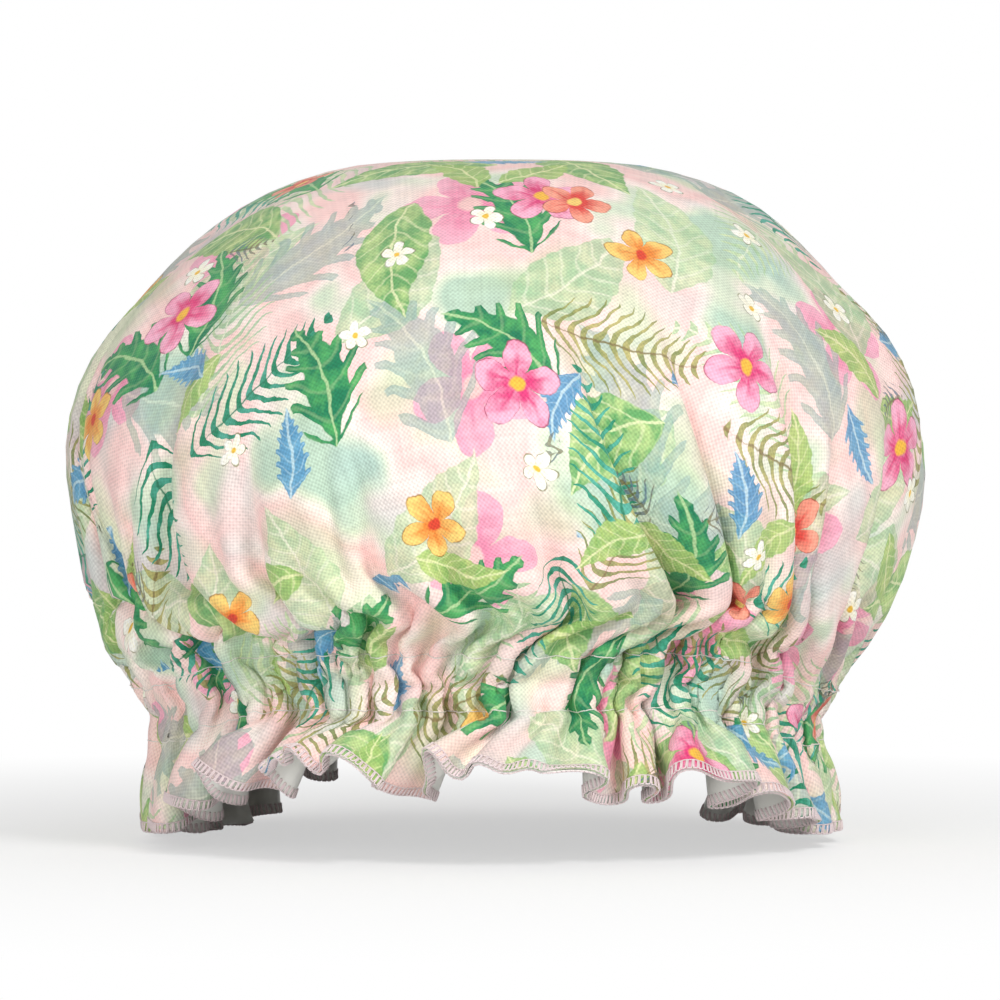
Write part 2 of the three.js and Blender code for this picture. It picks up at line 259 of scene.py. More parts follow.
# The waves that keep the folds uneven: a seed, and the share of a turn that each is smoothed over
LEANING, WAVE_SIZES, PLEAT_SHIFTS = (3, 0.03), (5, 0.015), (7, 0.01)
PLEAT_SIZES, GATHER_SHIFTS = (9, 0.008), (11, 0.01)
# How much they scale a fold, or shift it as a share of its width
WAVE_UNEVENNESS, PLEAT_UNEVENNESS = 0.2, 0.3
PLEAT_SHIFT, GATHER_SHIFT = 0.12, 0.15
SMALLEST_PLEAT, LARGEST_PLEAT = 0.75, 1.6
SECOND_WAVE = 0.45  # twice as fine, so that folds are narrow on one side and wide on the other
below = (row_places[:, None] - (UPPER_STITCH + LOWER_STITCH) / 2) * CUT_RADIUS
turn = around[None] + LEAN * random_wave(*LEANING, around)[None] * below
wave = np.sin(2 * np.pi * wave_phase(turn)) + SECOND_WAVE * np.sin(4 * np.pi * wave_phase(turn))
wave = wave * (1 + WAVE_UNEVENNESS * random_wave(*WAVE_SIZES, turn))
pleat = np.sin(2 * np.pi * (pleat_phase(turn) + PLEAT_SHIFT * random_wave(*PLEAT_SHIFTS, turn)))
pleat_size = 1 + PLEAT_UNEVENNESS * random_wave(*PLEAT_SIZES, turn)
pleat = pleat * np.clip(pleat_size, SMALLEST_PLEAT, LARGEST_PLEAT)
gather = np.sin(2 * np.pi * (gather_phase(turn) + GATHER_SHIFT * random_wave(*GATHER_SHIFTS, turn)))
heading_shape = by_row(pleat_weights) * pleat + by_row(gather_weights) * gather
heading_shape += by_row(crease_weights) * crease + by_row(wave_weights) * wave
heading_shape /= np.maximum(np.sqrt((heading_shape**2).mean(1, keepdims=True)), 1e-6)
print("largest value of the heading's shape:", heading_shape.max().round(2))

# %% The gathered rows
STEEPEST = 1.6  # radians between the cloth and its ring
LARGEST_SWING, HALVINGS = 12.0, 40
DRIFT_TURNS = 0.02  # a row may not wander from its ring over more than this share of a turn
# Two sets of dents that slant to either side: a seed, and turns round for the whole way down
DENTS = [(15, 0.22), (17, -0.3)]
DENT_TURNS = 0.02


def heading_for(swing):
    """Heading of the cloth against its ring, in radians, which levels off at the steepest."""
    return STEEPEST * np.tanh(swing * heading_shape / STEEPEST)


row_fullness = np.maximum(by_row(fullness), 1)
low_swing, high_swing = np.zeros((ROWS, 1)), np.full((ROWS, 1), LARGEST_SWING)
for _ in range(HALVINGS):
    swing = (low_swing + high_swing) / 2
    too_long = np.cos(heading_for(swing)).mean(1, keepdims=True) < 1 / row_fullness
    high_swing = np.where(too_long, swing, high_swing)
    low_swing = np.where(too_long, low_swing, swing)
heading = heading_for(swing)
step = np.pi * (ring_half_width + ring_half_depth) * row_fullness / COLUMNS
forward = np.cumsum(np.cos(heading), 1)
forward = forward / forward[:, -1:]
forward = forward - (forward - around).mean(1, keepdims=True)
outward = np.cumsum(step * (np.sin(heading) - np.sin(heading).mean(1, keepdims=True)), 1)
outward = outward - blurred(outward, DRIFT_TURNS)
for seed, slant in DENTS:
    dent_turn = around + slant * row_places[:, None]
    outward = outward + by_row(dent_depths) * random_wave(seed, DENT_TURNS, dent_turn)
angle = 2 * np.pi * forward
print("deepest fold at the hem:", round(float(np.ptp(outward[-1])), 1))

# %% [markdown]
# The rows are set on ellipses, one above another. The real cap stands on the sides of its frill
# and its front arches up, and its back, which isn't seen, is taken to do the same. So level rings
# won't do, and heights also depend on the angle round the cap.

# %% The middle surface as it is first laid out
TILT = 0.7  # radians from level, for the folds of the frill where it stands away most
# Cosines of the angle from the front's middle, and from the back's, where the arch begins and
# where it is complete
FRONT_EASE, BACK_EASE = (0.2, 0.9), (0.4, 0.95)
# Angles of the sides and of the low places beside the back, with how far each spreads
SIDE_ANGLE, SIDE_SPREAD = np.radians(86), np.radians(28)
LOW_ANGLE, LOW_SPREAD, LOW_DEPTH = np.radians(130), np.radians(22), 1.3


def front_and_back(angle):
    """1 over the front and the back of the cap, 0 over its low sides, with an ease between."""
    return smoothstep(*FRONT_EASE, np.cos(angle)) + smoothstep(*BACK_EASE, -np.cos(angle))


def ring_points(angle, half_wide, half_deep):
    """Points of an ellipse in plan, and the directions square to it there."""
    plan = np.stack([half_wide * np.sin(angle), -half_deep * np.cos(angle)], -1)
    normal = np.stack([np.sin(angle) / half_wide, -np.cos(angle) / half_deep], -1)
    return plan, normal / np.linalg.norm(normal, axis=-1, keepdims=True)


def beside_low_places(angle):
    """1 over the sides, below 0 over the low places beside the back, and 0 elsewhere."""
    turned = np.abs(np.arctan2(np.sin(angle), np.cos(angle)))
    side = np.exp(-(((turned - SIDE_ANGLE) / SIDE_SPREAD) ** 2))
    return side - LOW_DEPTH * np.exp(-(((turned - LOW_ANGLE) / LOW_SPREAD) ** 2))


flare = by_row(flares) * front_and_back(angle)
tilt = TILT * smoothstep(LOWER_STITCH, 1, row_places)[:, None] * front_and_back(angle)
plan, plan_normal = ring_points(angle, ring_half_width + flare, ring_half_depth + flare)
height = ring_height + by_row(lifts) * front_and_back(angle) + outward * np.sin(tilt)
height += by_row(side_lifts) * beside_low_places(angle)
middle = np.concatenate(
    [plan + (outward * np.cos(tilt))[..., None] * plan_normal, height[..., None]], -1)
print("hem heights:", height[-1].min().round(1), height[-1].max().round(1))

# %% [markdown]
# Laid out like this the folds are regular, and no real cloth looks so. Blender's cloth physics
# would have to be run for hundreds of frames to gather so much cloth, so the scene settles the grid
# itself, by the same idea of position-based dynamics on whole arrays: each pass moves every pair of
# neighbours towards the length of cloth between them, spreads bending, keeps the folds of the
# frill apart, and lets the frill sink a little. The stitched rows are held lightly in place.

# %% How the cloth is settled
PASSES = 400
RAMP_PASSES = 150  # passes over which the frill comes to the full length of its cloth
COLLIDE_ROW = DOME_ROWS + 4
FLOOR_GAP = 1.1  # lowest height of the middle surface, which leaves room for cloth and overlock
CONTACT = 2.2  # distance between two folds side by side
LARGEST_PUSH = 2.5
# Shares of a correction that one pass makes
CONTACT_SHARE, SLANT_SHARE, PIN_SHARE = 0.4, 0.24, 0.4
BEND_SHARE = 0.03
SINKING = 0.02  # millimetres that the hem sinks in a pass
SEAM_SPREAD = 0.006  # how far the stitches hold the cloth, as a share of the cut's radius
# Places between which the dome's hold ends, and the frill begins
HELD_EASE, FRILL_EASE = (0.34, 0.5), (0.9, 0.93)
FIRST_LENGTH_TURNS = 0.02
# Columns between the points that are kept apart, above the frill and in it
GATHER_REACHES = (3, 5, 7, 9, 12, 16, 20, 25)
REACH_STEP, REACH_END = 3, 54
print("passes:", PASSES, "rows whose folds are kept apart:", ROWS - COLLIDE_ROW)


# %% Single moves of the cloth
def by_place(places_at, values):
    """One value for each row, straight between the places given."""
    return np.interp(row_places, places_at, values)[:, None].astype(np.float32)


def shared_move(gap, rest, share):
    """Half of what brings the ends of a gap to their rest distance, times a share."""
    length = np.linalg.norm(gap, axis=-1, keepdims=True)
    return gap * (share / 2 * (length - rest) / np.maximum(length, 1e-9))


def kept_apart(points, half_wide, half_deep, reaches):
    """Pushes folds apart that lie nearer than two cloths can. Of two points some columns apart,
    the later one belongs further round the ring, unless they differ enough in their distance from
    its middle or in height, so they are pushed along the ring, which also undoes a crossing."""
    x, y, z = points[..., 0], points[..., 1], points[..., 2]
    normal_x, normal_y = x / half_wide**2, y / half_deep**2
    size = np.hypot(normal_x, normal_y)
    normal_x, normal_y = normal_x / size, normal_y / size
    for reach in reaches:
        gap_x, gap_y = np.roll(x, -reach, 1) - x, np.roll(y, -reach, 1) - y
        gap_z = np.roll(z, -reach, 1) - z
        beside = gap_x * normal_x + gap_y * normal_y
        onward = gap_y * normal_x - gap_x * normal_y
        need = np.sqrt(np.maximum(CONTACT**2 - beside**2 - gap_z**2, 0))
        push = np.where(need > 0, np.clip(need - onward, 0, LARGEST_PUSH), 0) * CONTACT_SHARE
        for values, amount in ((x, push * normal_y), (y, -push * normal_x)):
            values += amount - np.roll(amount, reach, 1)


print("folds are kept", CONTACT, "mm apart")

# %% How freely each row moves
# How far a point may lie inside or outside its ring, and how soft the bending is made, by place
reach_in = by_place([0, .5, .6, .7, .8, .847, .915, .94, 1], [3, 6, 10, 11, 9, 5, 5, 9, 17])
reach_out = by_place([0, .6, .7, .8, .847, .915, .94, 1], [1.5, 2, 2.5, 3, 3.2, 3.2, 4, 5])
reach_out = reach_out + flare.astype(np.float32)
softness = by_place([0, .6, .75, .83, .93, 1], [.06, .06, .03, .008, .015, .04])[..., None]
from_upper, from_lower = [(row_places - seam) / SEAM_SPREAD for seam in (UPPER_STITCH, LOWER_STITCH)]
seam_nearness = np.exp(-(from_upper**2)) + np.exp(-(from_lower**2))
pinned = PIN_SHARE * np.minimum(seam_nearness, 1)[:, None, None].astype(np.float32)
held = (1 - smoothstep(*HELD_EASE, row_places))[:, None, None].astype(np.float32)
sinking = SINKING * smoothstep(LOWER_STITCH, 1, row_places)[:, None]
print("rows held by the stitches:", int((pinned > PIN_SHARE / 2).sum()))


# %% Settling the cloth
def settled(points):
    """The grid after all passes of stretch, shear, bending, contact and envelope."""
    points = points.astype(np.float32)
    start = points.copy()
    across_rest = (step * np.ones((1, COLUMNS)))[..., None].astype(np.float32)
    first_down = np.linalg.norm(np.diff(points, axis=0), axis=-1)
    first_down = blurred(first_down, FIRST_LENGTH_TURNS)[..., None]
    cloth_down = (np.diff(row_places) * CUT_RADIUS)[:, None, None]
    in_frill = smoothstep(*FRILL_EASE, row_places[1:])[:, None, None]
    even = (np.arange(COLUMNS) % 2 == 0)[None, :, None]
    mean_radius = ((ring_half_width + ring_half_depth) / 2).astype(np.float32)
    for pass_number in range(PASSES):
        ramp = min(1, pass_number / RAMP_PASSES)
        down_rest = (first_down + ramp * in_frill * (cloth_down - first_down)).astype(np.float32)
        for which in (even, ~even):
            move = shared_move(np.roll(points, -1, 1) - points, across_rest, 1) * which
            points += move - np.roll(move, 1, 1)
        for first in (0, 1):
            upper, lower = points[first:-1:2], points[first + 1::2]
            move = shared_move(lower - upper, down_rest[first::2], 1)
            upper += move
            lower -= move
        slant_rest = np.sqrt(across_rest[:-1] ** 2 + down_rest**2)
        for side in (1, -1):
            slant = np.roll(points[1:], -side, 1) - points[:-1]
            move = shared_move(slant, slant_rest, SLANT_SHARE)
            points[:-1] += move
            points[1:] -= np.roll(move, side, 1)
        bend = np.roll(points, 1, 1) - 2 * points + np.roll(points, -1, 1)
        points -= softness * (np.roll(bend, 1, 1) - 2 * bend + np.roll(bend, -1, 1))
        bend = np.zeros_like(points)
        bend[1:-1] = points[:-2] - 2 * points[1:-1] + points[2:]
        points[1:-1] -= BEND_SHARE * (bend[:-2] - 2 * bend[1:-1] + bend[2:])
        frill_reaches = range(REACH_STEP + pass_number % REACH_STEP, REACH_END, REACH_STEP)
        for part, reaches in ((slice(COLLIDE_ROW, LOWER_STITCH_ROW), GATHER_REACHES),
                              (slice(LOWER_STITCH_ROW, None), frill_reaches)):
            kept_apart(points[part], ring_half_width[part], ring_half_depth[part], reaches)
        points[..., 2] -= sinking
        ring = np.hypot(points[..., 0] / ring_half_width, points[..., 1] / ring_half_depth)
        limited = np.clip((ring - 1) * mean_radius, -reach_in, reach_out) / mean_radius + 1
        points[..., :2] *= (limited / ring)[..., None]
        points[..., 2] = np.maximum(points[..., 2], FLOOR_GAP)
        points += pinned * (start - points)
        points += held * (start - points)
    return points.astype(float)


middle = settled(middle)
cloth_length = np.linalg.norm(np.roll(middle, -1, 1) - middle, axis=-1)
hem_length = step[-1, 0] * COLUMNS
print("length round the hem:", cloth_length[-1].sum().round(), "of", hem_length.round())

# %% [markdown]
# The two layers lie on either side of the middle surface, each moved along the surface's normal. In
# the casing they part, because the elastic runs between them, so there each is also moved
# along the ring's own normal, and kept clear of the band. A Solidify modifier on one sheet could
# part them too, but it would leave no room for the elastic.

# %% The two layers of cloth
tunnel_place = (row_places - UPPER_STITCH) / (LOWER_STITCH - UPPER_STITCH)
tunnel = (1 - np.abs(2 * np.clip(tunnel_place, 0, 1) - 1) ** 3)[:, None, None]
flat_normal = np.concatenate([plan_normal, np.zeros((ROWS, COLUMNS, 1))], -1)
TUNNEL_PUFF = 2.8  # how far each layer stands off the middle surface halfway between the seams
LINEN_OFFSET = LAYER_GAP / 2 + LINEN_THICKNESS
LINING_OFFSET = -LAYER_GAP / 2

BAND_PLACE = (UPPER_STITCH + LOWER_STITCH) / 2
band_half_width = smooth_through(places, half_width_shares, np.array([BAND_PLACE]))[0] * half_width
band_half_depth = band_half_width + half_depth - half_width
band_height, band_lift, band_side_lift = [
    smooth_through(places, values, np.array([BAND_PLACE]))[0]
    for values in (np.array(height_shares) * crown_height, lifts, side_lifts)]


def band_middle(angle):
    """Height of the elastic's middle at an angle round the cap."""
    lift = band_lift * front_and_back(angle) + band_side_lift * beside_low_places(angle)
    return band_height + lift


ROOM_EASE = 0.4
# Distances past the band's edges up to which cloth is moved fully, and from which it isn't moved
BESIDE_BAND, PAST_BAND = 0.4, 1.6


def clear_of_band(points, side, room):
    """Points at the height of the band, moved out (side 1) or in (side -1) until they are as far
    from its middle as the room says: a distance plus the ease of its shortfall."""
    ring = np.hypot(points[..., 0] / band_half_width, points[..., 1] / band_half_depth)
    mean_radius = (band_half_width + band_half_depth) / 2
    distance = side * (ring - 1) * mean_radius
    wanted = room + ROOM_EASE * np.logaddexp(0, (distance - room) / ROOM_EASE)
    turn_angle = np.arctan2(points[..., 0] / band_half_width, -points[..., 1] / band_half_depth)
    from_middle = np.abs(points[..., 2] - band_middle(turn_angle))
    nearness = smoothstep(BAND_WIDTH / 2 + PAST_BAND, BAND_WIDTH / 2 + BESIDE_BAND, from_middle)
    nearness = nearness * (tunnel[..., 0] > 0)
    moved = points.copy()
    moved[..., :2] *= (1 + side * nearness * (wanted - distance) / mean_radius / ring)[..., None]
    return moved


linen_room = BAND_THICKNESS / 2 + LAYER_GAP + THREAD_THICKNESS + LINEN_THICKNESS
lining_room = BAND_THICKNESS / 2 + LAYER_GAP


def two_layers(points, spare=0):
    """The linen's outer face, the film's face towards it and the unit normals, from the surface
    between them. Each face may be moved apart from the other by a spare distance more."""
    across = np.roll(points, -1, 1) - np.roll(points, 1, 1)
    facing = np.cross(np.gradient(points, axis=0), across)
    facing /= np.linalg.norm(facing, axis=-1, keepdims=True)
    puff = TUNNEL_PUFF * tunnel * flat_normal
    linen = clear_of_band(points + (LINEN_OFFSET + spare) * facing + puff, 1, linen_room)
    film = clear_of_band(points + (LINING_OFFSET - spare) * facing - puff, -1, lining_room)
    return linen, film, facing


print("room for the linen and the lining beside the band's middle:", linen_room, lining_room)

# %% [markdown]
# A few folds still run through their neighbours, and there the film would show as a white patch on
# the print. Such a place is found where a row of the film crosses the same row of the linen in
# plan, and the folds there are smoothed out, until nothing crosses or a number of rounds is over.

# %% Folds that run through their neighbours
LONGEST_LOOP = 44  # steps of the grid between the two ends of a crossing, at most
SMOOTHING_ROUNDS = 40
# For the test, each face is moved out by the film's thickness and a little more
SPARE = LINING_THICKNESS + 0.1


def crossed_stretches(linen, film):
    """True from one end to the other of each stretch where the two layers cross. Two steps cross
    if each has its ends on different sides of the other."""
    first, film_first = linen[..., :2], film[..., :2]
    second, film_second = np.roll(first, -1, 1), np.roll(film_first, -1, 1)

    def side_of(p, q, r):
        return np.sign((q[..., 0] - p[..., 0]) * (r[..., 1] - p[..., 1])
                       - (q[..., 1] - p[..., 1]) * (r[..., 0] - p[..., 0]))

    crossed = np.zeros(first.shape[:2], bool)
    for reach in range(-LONGEST_LOOP, LONGEST_LOOP + 1):
        third, fourth = np.roll(film_first, -reach, 1), np.roll(film_second, -reach, 1)
        hit = side_of(first, second, third) * side_of(first, second, fourth) < 0
        hit &= side_of(third, fourth, first) * side_of(third, fourth, second) < 0
        if hit.any():
            for shift in range(min(reach, 0), max(reach, 0) + 2):
                crossed |= np.roll(hit, shift, 1)
    return crossed


def smoothed_out(points):
    """The grid with each crossed stretch, and a little on all its sides, drawn to the mean of its
    neighbours again and again, until the layers don't cross or the rounds are over."""
    for round_number in range(SMOOTHING_ROUNDS):
        linen, film, _ = two_layers(points, SPARE)
        crossed = crossed_stretches(linen, film).astype(float)
        if not crossed.any():
            break
        share = crossed + np.roll(crossed, 1, 1) + np.roll(crossed, -1, 1)
        share[1:] += crossed[:-1]
        share[:-1] += crossed[1:]
        # A quarter of the way for each crossed point here or next to it, and half of it at most
        share = np.minimum(share, 2)[..., None] / 4
        mean = (np.roll(points, 1, 1) + np.roll(points, -1, 1)) / 2
        points = points + share * (mean - points)
    print("rounds:", round_number, "points still in a crossing:", int(crossed.sum()))
    return points


middle = smoothed_out(middle)
linen_face, lining_back, facing = two_layers(middle)
# The whole gathered part hangs a little to the left, with the elastic in it
sidestep = smooth_through(places, sidesteps, np.append(row_places, BAND_PLACE))
for layer in (linen_face, lining_back):
    layer[..., 0] -= sidestep[:-1, None]
print("elastic's half width and half depth:", band_half_width.round(1), band_half_depth.round(1))

# %% [markdown]
# Each layer becomes one mesh: a fan round its apex, and quads between its rows. Its UV map is the
# flat cut itself, seen from above, so a print that is drawn on the cut needs no unwrapping. The
# cloth's thickness comes from a Solidify modifier that works inwards from the face that was laid.


# %% Sheets of cloth
def closed_grid_faces(rows, columns, first):
    """Quads between the rows of a grid whose columns go all the way round."""
    j = np.arange(columns)
    i = first + np.arange(rows - 1)[:, None] * columns
    next_j = (j + 1) % columns
    return np.stack([i + j, i + columns + j, i + columns + next_j, i + next_j], -1).reshape(-1, 4)


def linked_object(name, vertices, faces):
    """A mesh object at the origin, from points in millimetres."""
    mesh = bpy.data.meshes.new(name)
    mesh.from_pydata((vertices * millimetre).tolist(), [], faces)
    mesh.polygons.foreach_set("use_smooth", np.ones(len(mesh.polygons), bool))
    piece = bpy.data.objects.new(name, mesh)
    bpy.context.scene.collection.objects.link(piece)
    return piece


def map_object(piece, name, coordinates):
    """A UV map that gives each vertex one place."""
    mesh = piece.data
    corners = np.empty(len(mesh.loops), int)
    mesh.loops.foreach_get("vertex_index", corners)
    mesh.uv_layers.new(name=name).uv.foreach_set("vector", coordinates[corners].ravel())


# The flat cut fills this share of its map's half width, which leaves a margin round it
MAP_SHARE = 0.49


def cloth_object(name, points, apex_height, thickness):
    """A gathered disc: a fan round its apex and quads between its rows, with its flat cut as map."""
    vertices = np.concatenate([[[0, 0, apex_height]], points.reshape(-1, 3)])
    j = np.arange(COLUMNS)
    fan = np.stack([np.zeros(COLUMNS, int), 1 + j, 1 + (j + 1) % COLUMNS], -1)
    faces = fan.tolist() + closed_grid_faces(ROWS, COLUMNS, 1).tolist()
    piece = linked_object(name, vertices, faces)
    flat = row_places[:, None, None] * np.stack(
        [np.sin(2 * np.pi * around), -np.cos(2 * np.pi * around)], -1)[None]
    flat = np.concatenate([[[0, 0]], flat.reshape(-1, 2)])
    map_object(piece, "OFBake", 0.5 + MAP_SHARE * flat)
    wall = piece.modifiers.new("cloth thickness", "SOLIDIFY")
    wall.thickness, wall.offset = thickness * millimetre, -1
    return piece


APEX_RISE = 0.3  # of the crown's middle point above the highest row
apex = crown_height + APEX_RISE
cover = cloth_object("printed_linen_cover", linen_face, apex, LINEN_THICKNESS)
lining = cloth_object("waterproof_inner_cover", lining_back, apex - LINEN_OFFSET + LINING_OFFSET,
                      LINING_THICKNESS)
print("cover:", len(cover.data.vertices), "points")

# %% [markdown]
# The elastic, the stitching and the overlock are all one thing carried along a path: a small
# section, set out at every point of the path from two directions, the one away from the cloth and
# the one across the path. The paths are worked out on the cloth's own grid, so no thread can
# leave it.


# %% A section carried along a path
def swept_object(name, path, away, section, closed=True):
    """Points of a section, each an amount away from the cloth and an amount across the path, at
    every point of the path. The path closes on itself, or has a flat cap at each end."""
    if closed:
        along = np.roll(path, -1, 0) - np.roll(path, 1, 0)
    else:
        along = np.gradient(path, axis=0)
    sideways = np.cross(along, away)
    sideways /= np.linalg.norm(sideways, axis=-1, keepdims=True)
    upright = np.cross(sideways, along)
    upright /= np.linalg.norm(upright, axis=-1, keepdims=True)
    section = np.asarray(section)
    rings = path[:, None] + section[:, :1] * upright[:, None] + section[:, 1:] * sideways[:, None]
    count, sides = len(path), len(section)
    steps = np.arange(count if closed else count - 1)[:, None] * sides
    k, last = np.arange(sides), count * sides
    next_steps = (steps + sides) % last
    faces = np.stack([steps + k, steps + (k + 1) % sides, next_steps + (k + 1) % sides,
                      next_steps + k], -1).reshape(-1, 4).tolist()
    if not closed:
        faces += [k[::-1].tolist(), (last - sides + k).tolist()]
    piece = linked_object(name, rings.reshape(-1, 3), faces)
    length = np.concatenate([[0], np.cumsum(np.linalg.norm(np.diff(path, axis=0), axis=-1))])
    run = np.stack([np.repeat(length, sides), np.tile(k / sides, count)], -1)
    map_object(piece, "along_and_round", run)
    return piece


def round_section(diameter, sides):
    """A regular polygon whose corners lie on a circle."""
    turns = 2 * np.pi * np.arange(sides) / sides
    return diameter / 2 * np.stack([np.cos(turns), np.sin(turns)], -1)


print("a section can be carried along a path")

# %% [markdown]
# The elastic is one braided strip, 8 mm wide, whose ends meet at the back and are sewn over with a
# zigzag. It runs hidden in the casing. A stretched torus could stand for it, but a section carried
# along the casing's own ellipse keeps its width upright all the way round.

# %% The elastic in its casing
JOIN_GAP = 0.3
BAND_STEPS = 400
band_length = np.pi * (band_half_width + band_half_depth)
join_turn = JOIN_GAP / band_length / 2
band_angle = np.pi + 2 * np.pi * np.linspace(join_turn, 1 - join_turn, BAND_STEPS)


def on_band(angle, up, out):
    """A point at an angle round the elastic, up and out from its middle, and the way outwards."""
    plan, normal = ring_points(angle, band_half_width, band_half_depth)
    plan[:, 0] -= sidestep[-1]
    place = np.concatenate([plan + out * normal, (band_middle(angle) + up)[:, None]], -1)
    return place, np.concatenate([normal, np.zeros((len(angle), 1))], -1)


half_thick, half_band, corner = BAND_THICKNESS / 2, BAND_WIDTH / 2, 0.3
band_section = [
    (half_thick, corner - half_band), (half_thick, 0), (half_thick, half_band - corner),
    (half_thick - corner, half_band), (corner - half_thick, half_band),
    (-half_thick, half_band - corner), (-half_thick, 0), (-half_thick, corner - half_band),
    (corner - half_thick, -half_band), (half_thick - corner, -half_band),
]
elastic = swept_object("woven_elastic", *on_band(band_angle, 0, 0), band_section, closed=False)

TACK_LENGTH, TACK_WIDTH, TACK_STEPS, TACK_STROKES = 4.4, 5.0, 49, 6
tack_run = np.linspace(-0.5, 0.5, TACK_STEPS)
tack_angle = np.pi + 2 * np.pi * tack_run * TACK_LENGTH / band_length
tack_phase = TACK_STROKES * np.pi * (tack_run + 0.5)
tack_up = TACK_WIDTH / 2 * np.arcsin(np.cos(tack_phase)) / (np.pi / 2)
tack_path, tack_away = on_band(tack_angle, tack_up, BAND_THICKNESS / 2 + THREAD_THICKNESS / 2)
join_stitches = swept_object("elastic_join_zigzag", tack_path, tack_away,
                             round_section(THREAD_THICKNESS, 6), closed=False)
print("elastic length:", band_length.round(1))

# %% [markdown]
# Every seam lies on the cloth, so its path is given in rows and columns of the cloth's own grid. A
# Shrinkwrap modifier could lay a thread on the mesh, but in the depth of a pleat it would find the
# wrong wall. Between the grid's points the place is a mean of the four nearest.


# %% Places on the cloth
def with_edge_row(grid):
    """A grid with one more row below its last, as far on as the row before it is back."""
    return np.concatenate([grid, 2 * grid[-1:] - grid[-2:-1]])


normal_grid = with_edge_row(facing)


def on_cloth(grid, rows, columns, out):
    """Points at fractional rows and columns of a grid, each the mean of its four neighbours by
    nearness, moved out along the cloth's normal there. Gives the points and the normals."""
    i = np.clip(rows.astype(int), 0, ROWS - 1)
    j = np.floor(columns).astype(int)
    f, g = (rows - i)[:, None], (columns - j)[:, None]

    def mean(values):
        near, far = values[:, j % COLUMNS], values[:, (j + 1) % COLUMNS]
        pick = np.arange(len(i))
        above = near[i, pick] * (1 - g) + far[i, pick] * g
        under = near[i + 1, pick] * (1 - g) + far[i + 1, pick] * g
        return above * (1 - f) + under * f

    normal = mean(normal_grid)
    normal /= np.linalg.norm(normal, axis=-1, keepdims=True)
    return mean(grid) + np.asarray(out)[..., None] * normal, normal


linen_grid = with_edge_row(linen_face)
lining_grid = with_edge_row(lining_back - LINING_THICKNESS * facing)
print("grid for the seams:", linen_grid.shape)

# %% [markdown]
# Two rows of lockstitch close the casing, about 2.5 mm to the stitch. A lockstitch shows one
# thread on each face, which lies on the cloth and dips into it at every needle hole. So each row
# is a needle thread on the linen and a bobbin thread on the lining.

# %% The two rows of lockstitch
STITCH_LENGTH = 2.5
POINTS_PER_STITCH = 5
# Shares of the thread's thickness by which it rises in a stitch, and lies in the cloth at its ends
RISE_SHARE, SUNK_SHARE = 0.75, 0.25


def lockstitch(name, grid, row, side):
    """A thread along a row of the cloth that dips into it after every stitch: it stands off by a
    sine of the way along the stitch. Side 1 is the linen's face and side -1 the lining's."""
    stitches = round(step[row, 0] * COLUMNS / STITCH_LENGTH)
    run = np.arange(stitches * POINTS_PER_STITCH) / POINTS_PER_STITCH
    rise = RISE_SHARE * np.abs(np.sin(np.pi * run)) - SUNK_SHARE
    out = side * (THREAD_THICKNESS * rise)
    path, away = on_cloth(grid, np.full(len(run), float(row)), run / stitches * COLUMNS, out)
    print(name, "has", stitches, "stitches")
    return swept_object(name, path, side * away, round_section(THREAD_THICKNESS, 5))


upper_needle = lockstitch("upper_seam_needle_thread", linen_grid, UPPER_STITCH_ROW, 1)
upper_bobbin = lockstitch("upper_seam_bobbin_thread", lining_grid, UPPER_STITCH_ROW, -1)
lower_needle = lockstitch("lower_seam_needle_thread", linen_grid, LOWER_STITCH_ROW, 1)
lower_bobbin = lockstitch("lower_seam_bobbin_thread", lining_grid, LOWER_STITCH_ROW, -1)

# %% [markdown]
# The raw edges of both layers are held by a three-thread overlock in pink and white: an upper
# looper on the linen, a lower looper on the lining, and a needle thread where they turn back. The
# real yarn is a fluffy zigzag, so one stitch of each looper is drawn by a few points, off the
# cloth and round its edge, and then repeated all the way round.

# %% The overlocked edge
# One stitch of each looper, as shares of the stitch along the edge, millimetres up from the edge
# and millimetres off the cloth: up to the needle thread, across it, and back to the edge
OVERLOCK_LENGTH = 1.52
OVERLOCK_WIDTH = 2.6
looper_stitch = np.array([
    (0.10, -0.16, 0.05), (0.38, -0.14, 0.12), (0.52, 0.20, 0.24), (0.68, 1.40, 0.20),
    (0.84, OVERLOCK_WIDTH, 0.16), (1.06, OVERLOCK_WIDTH, 0.16), (0.94, 1.40, 0.20),
    (0.80, 0.20, 0.24), (0.76, -0.14, 0.12),
])
overlock_stitches = round(step[-1, 0] * COLUMNS / OVERLOCK_LENGTH)
edge_spacing = (row_places[-1] - row_places[-2]) * CUT_RADIUS


def overlock_thread(name, grid, side, stitch, thickness):
    """One stitch, repeated all the way round the edge of the cloth."""
    start = np.arange(overlock_stitches)[:, None]
    run = (start + stitch[None, :, 0]).ravel() / overlock_stitches * COLUMNS
    up, out = [np.tile(values, overlock_stitches) for values in stitch[:, 1:].T]
    rows = ROWS - 1 - up / edge_spacing
    path, away = on_cloth(grid, rows, run, side * out)
    return swept_object(name, path, side * away, round_section(thickness, 4))


OVERLOCK_THREAD = 0.46
upper_looper = overlock_thread("overlock_upper_looper", linen_grid, 1, looper_stitch,
                               OVERLOCK_THREAD)
lower_looper = overlock_thread("overlock_lower_looper", lining_grid, -1, looper_stitch,
                               OVERLOCK_THREAD)
needle_line = OVERLOCK_WIDTH - 0.1
needle_stitch = np.array([(0.0, needle_line, 0.05), (0.2, needle_line, 0.3), (0.8, needle_line, 0.3)])
overlock_needle = overlock_thread("overlock_needle_thread", linen_grid, 1, needle_stitch,
                                  THREAD_THICKNESS)
print("overlock stitches:", overlock_stitches)

# %% [markdown]
# The materials are worked out in shader nodes. Each starts from what the real one is, its colours
# are written as on a screen and turned to linear values, and one small function adds a node.


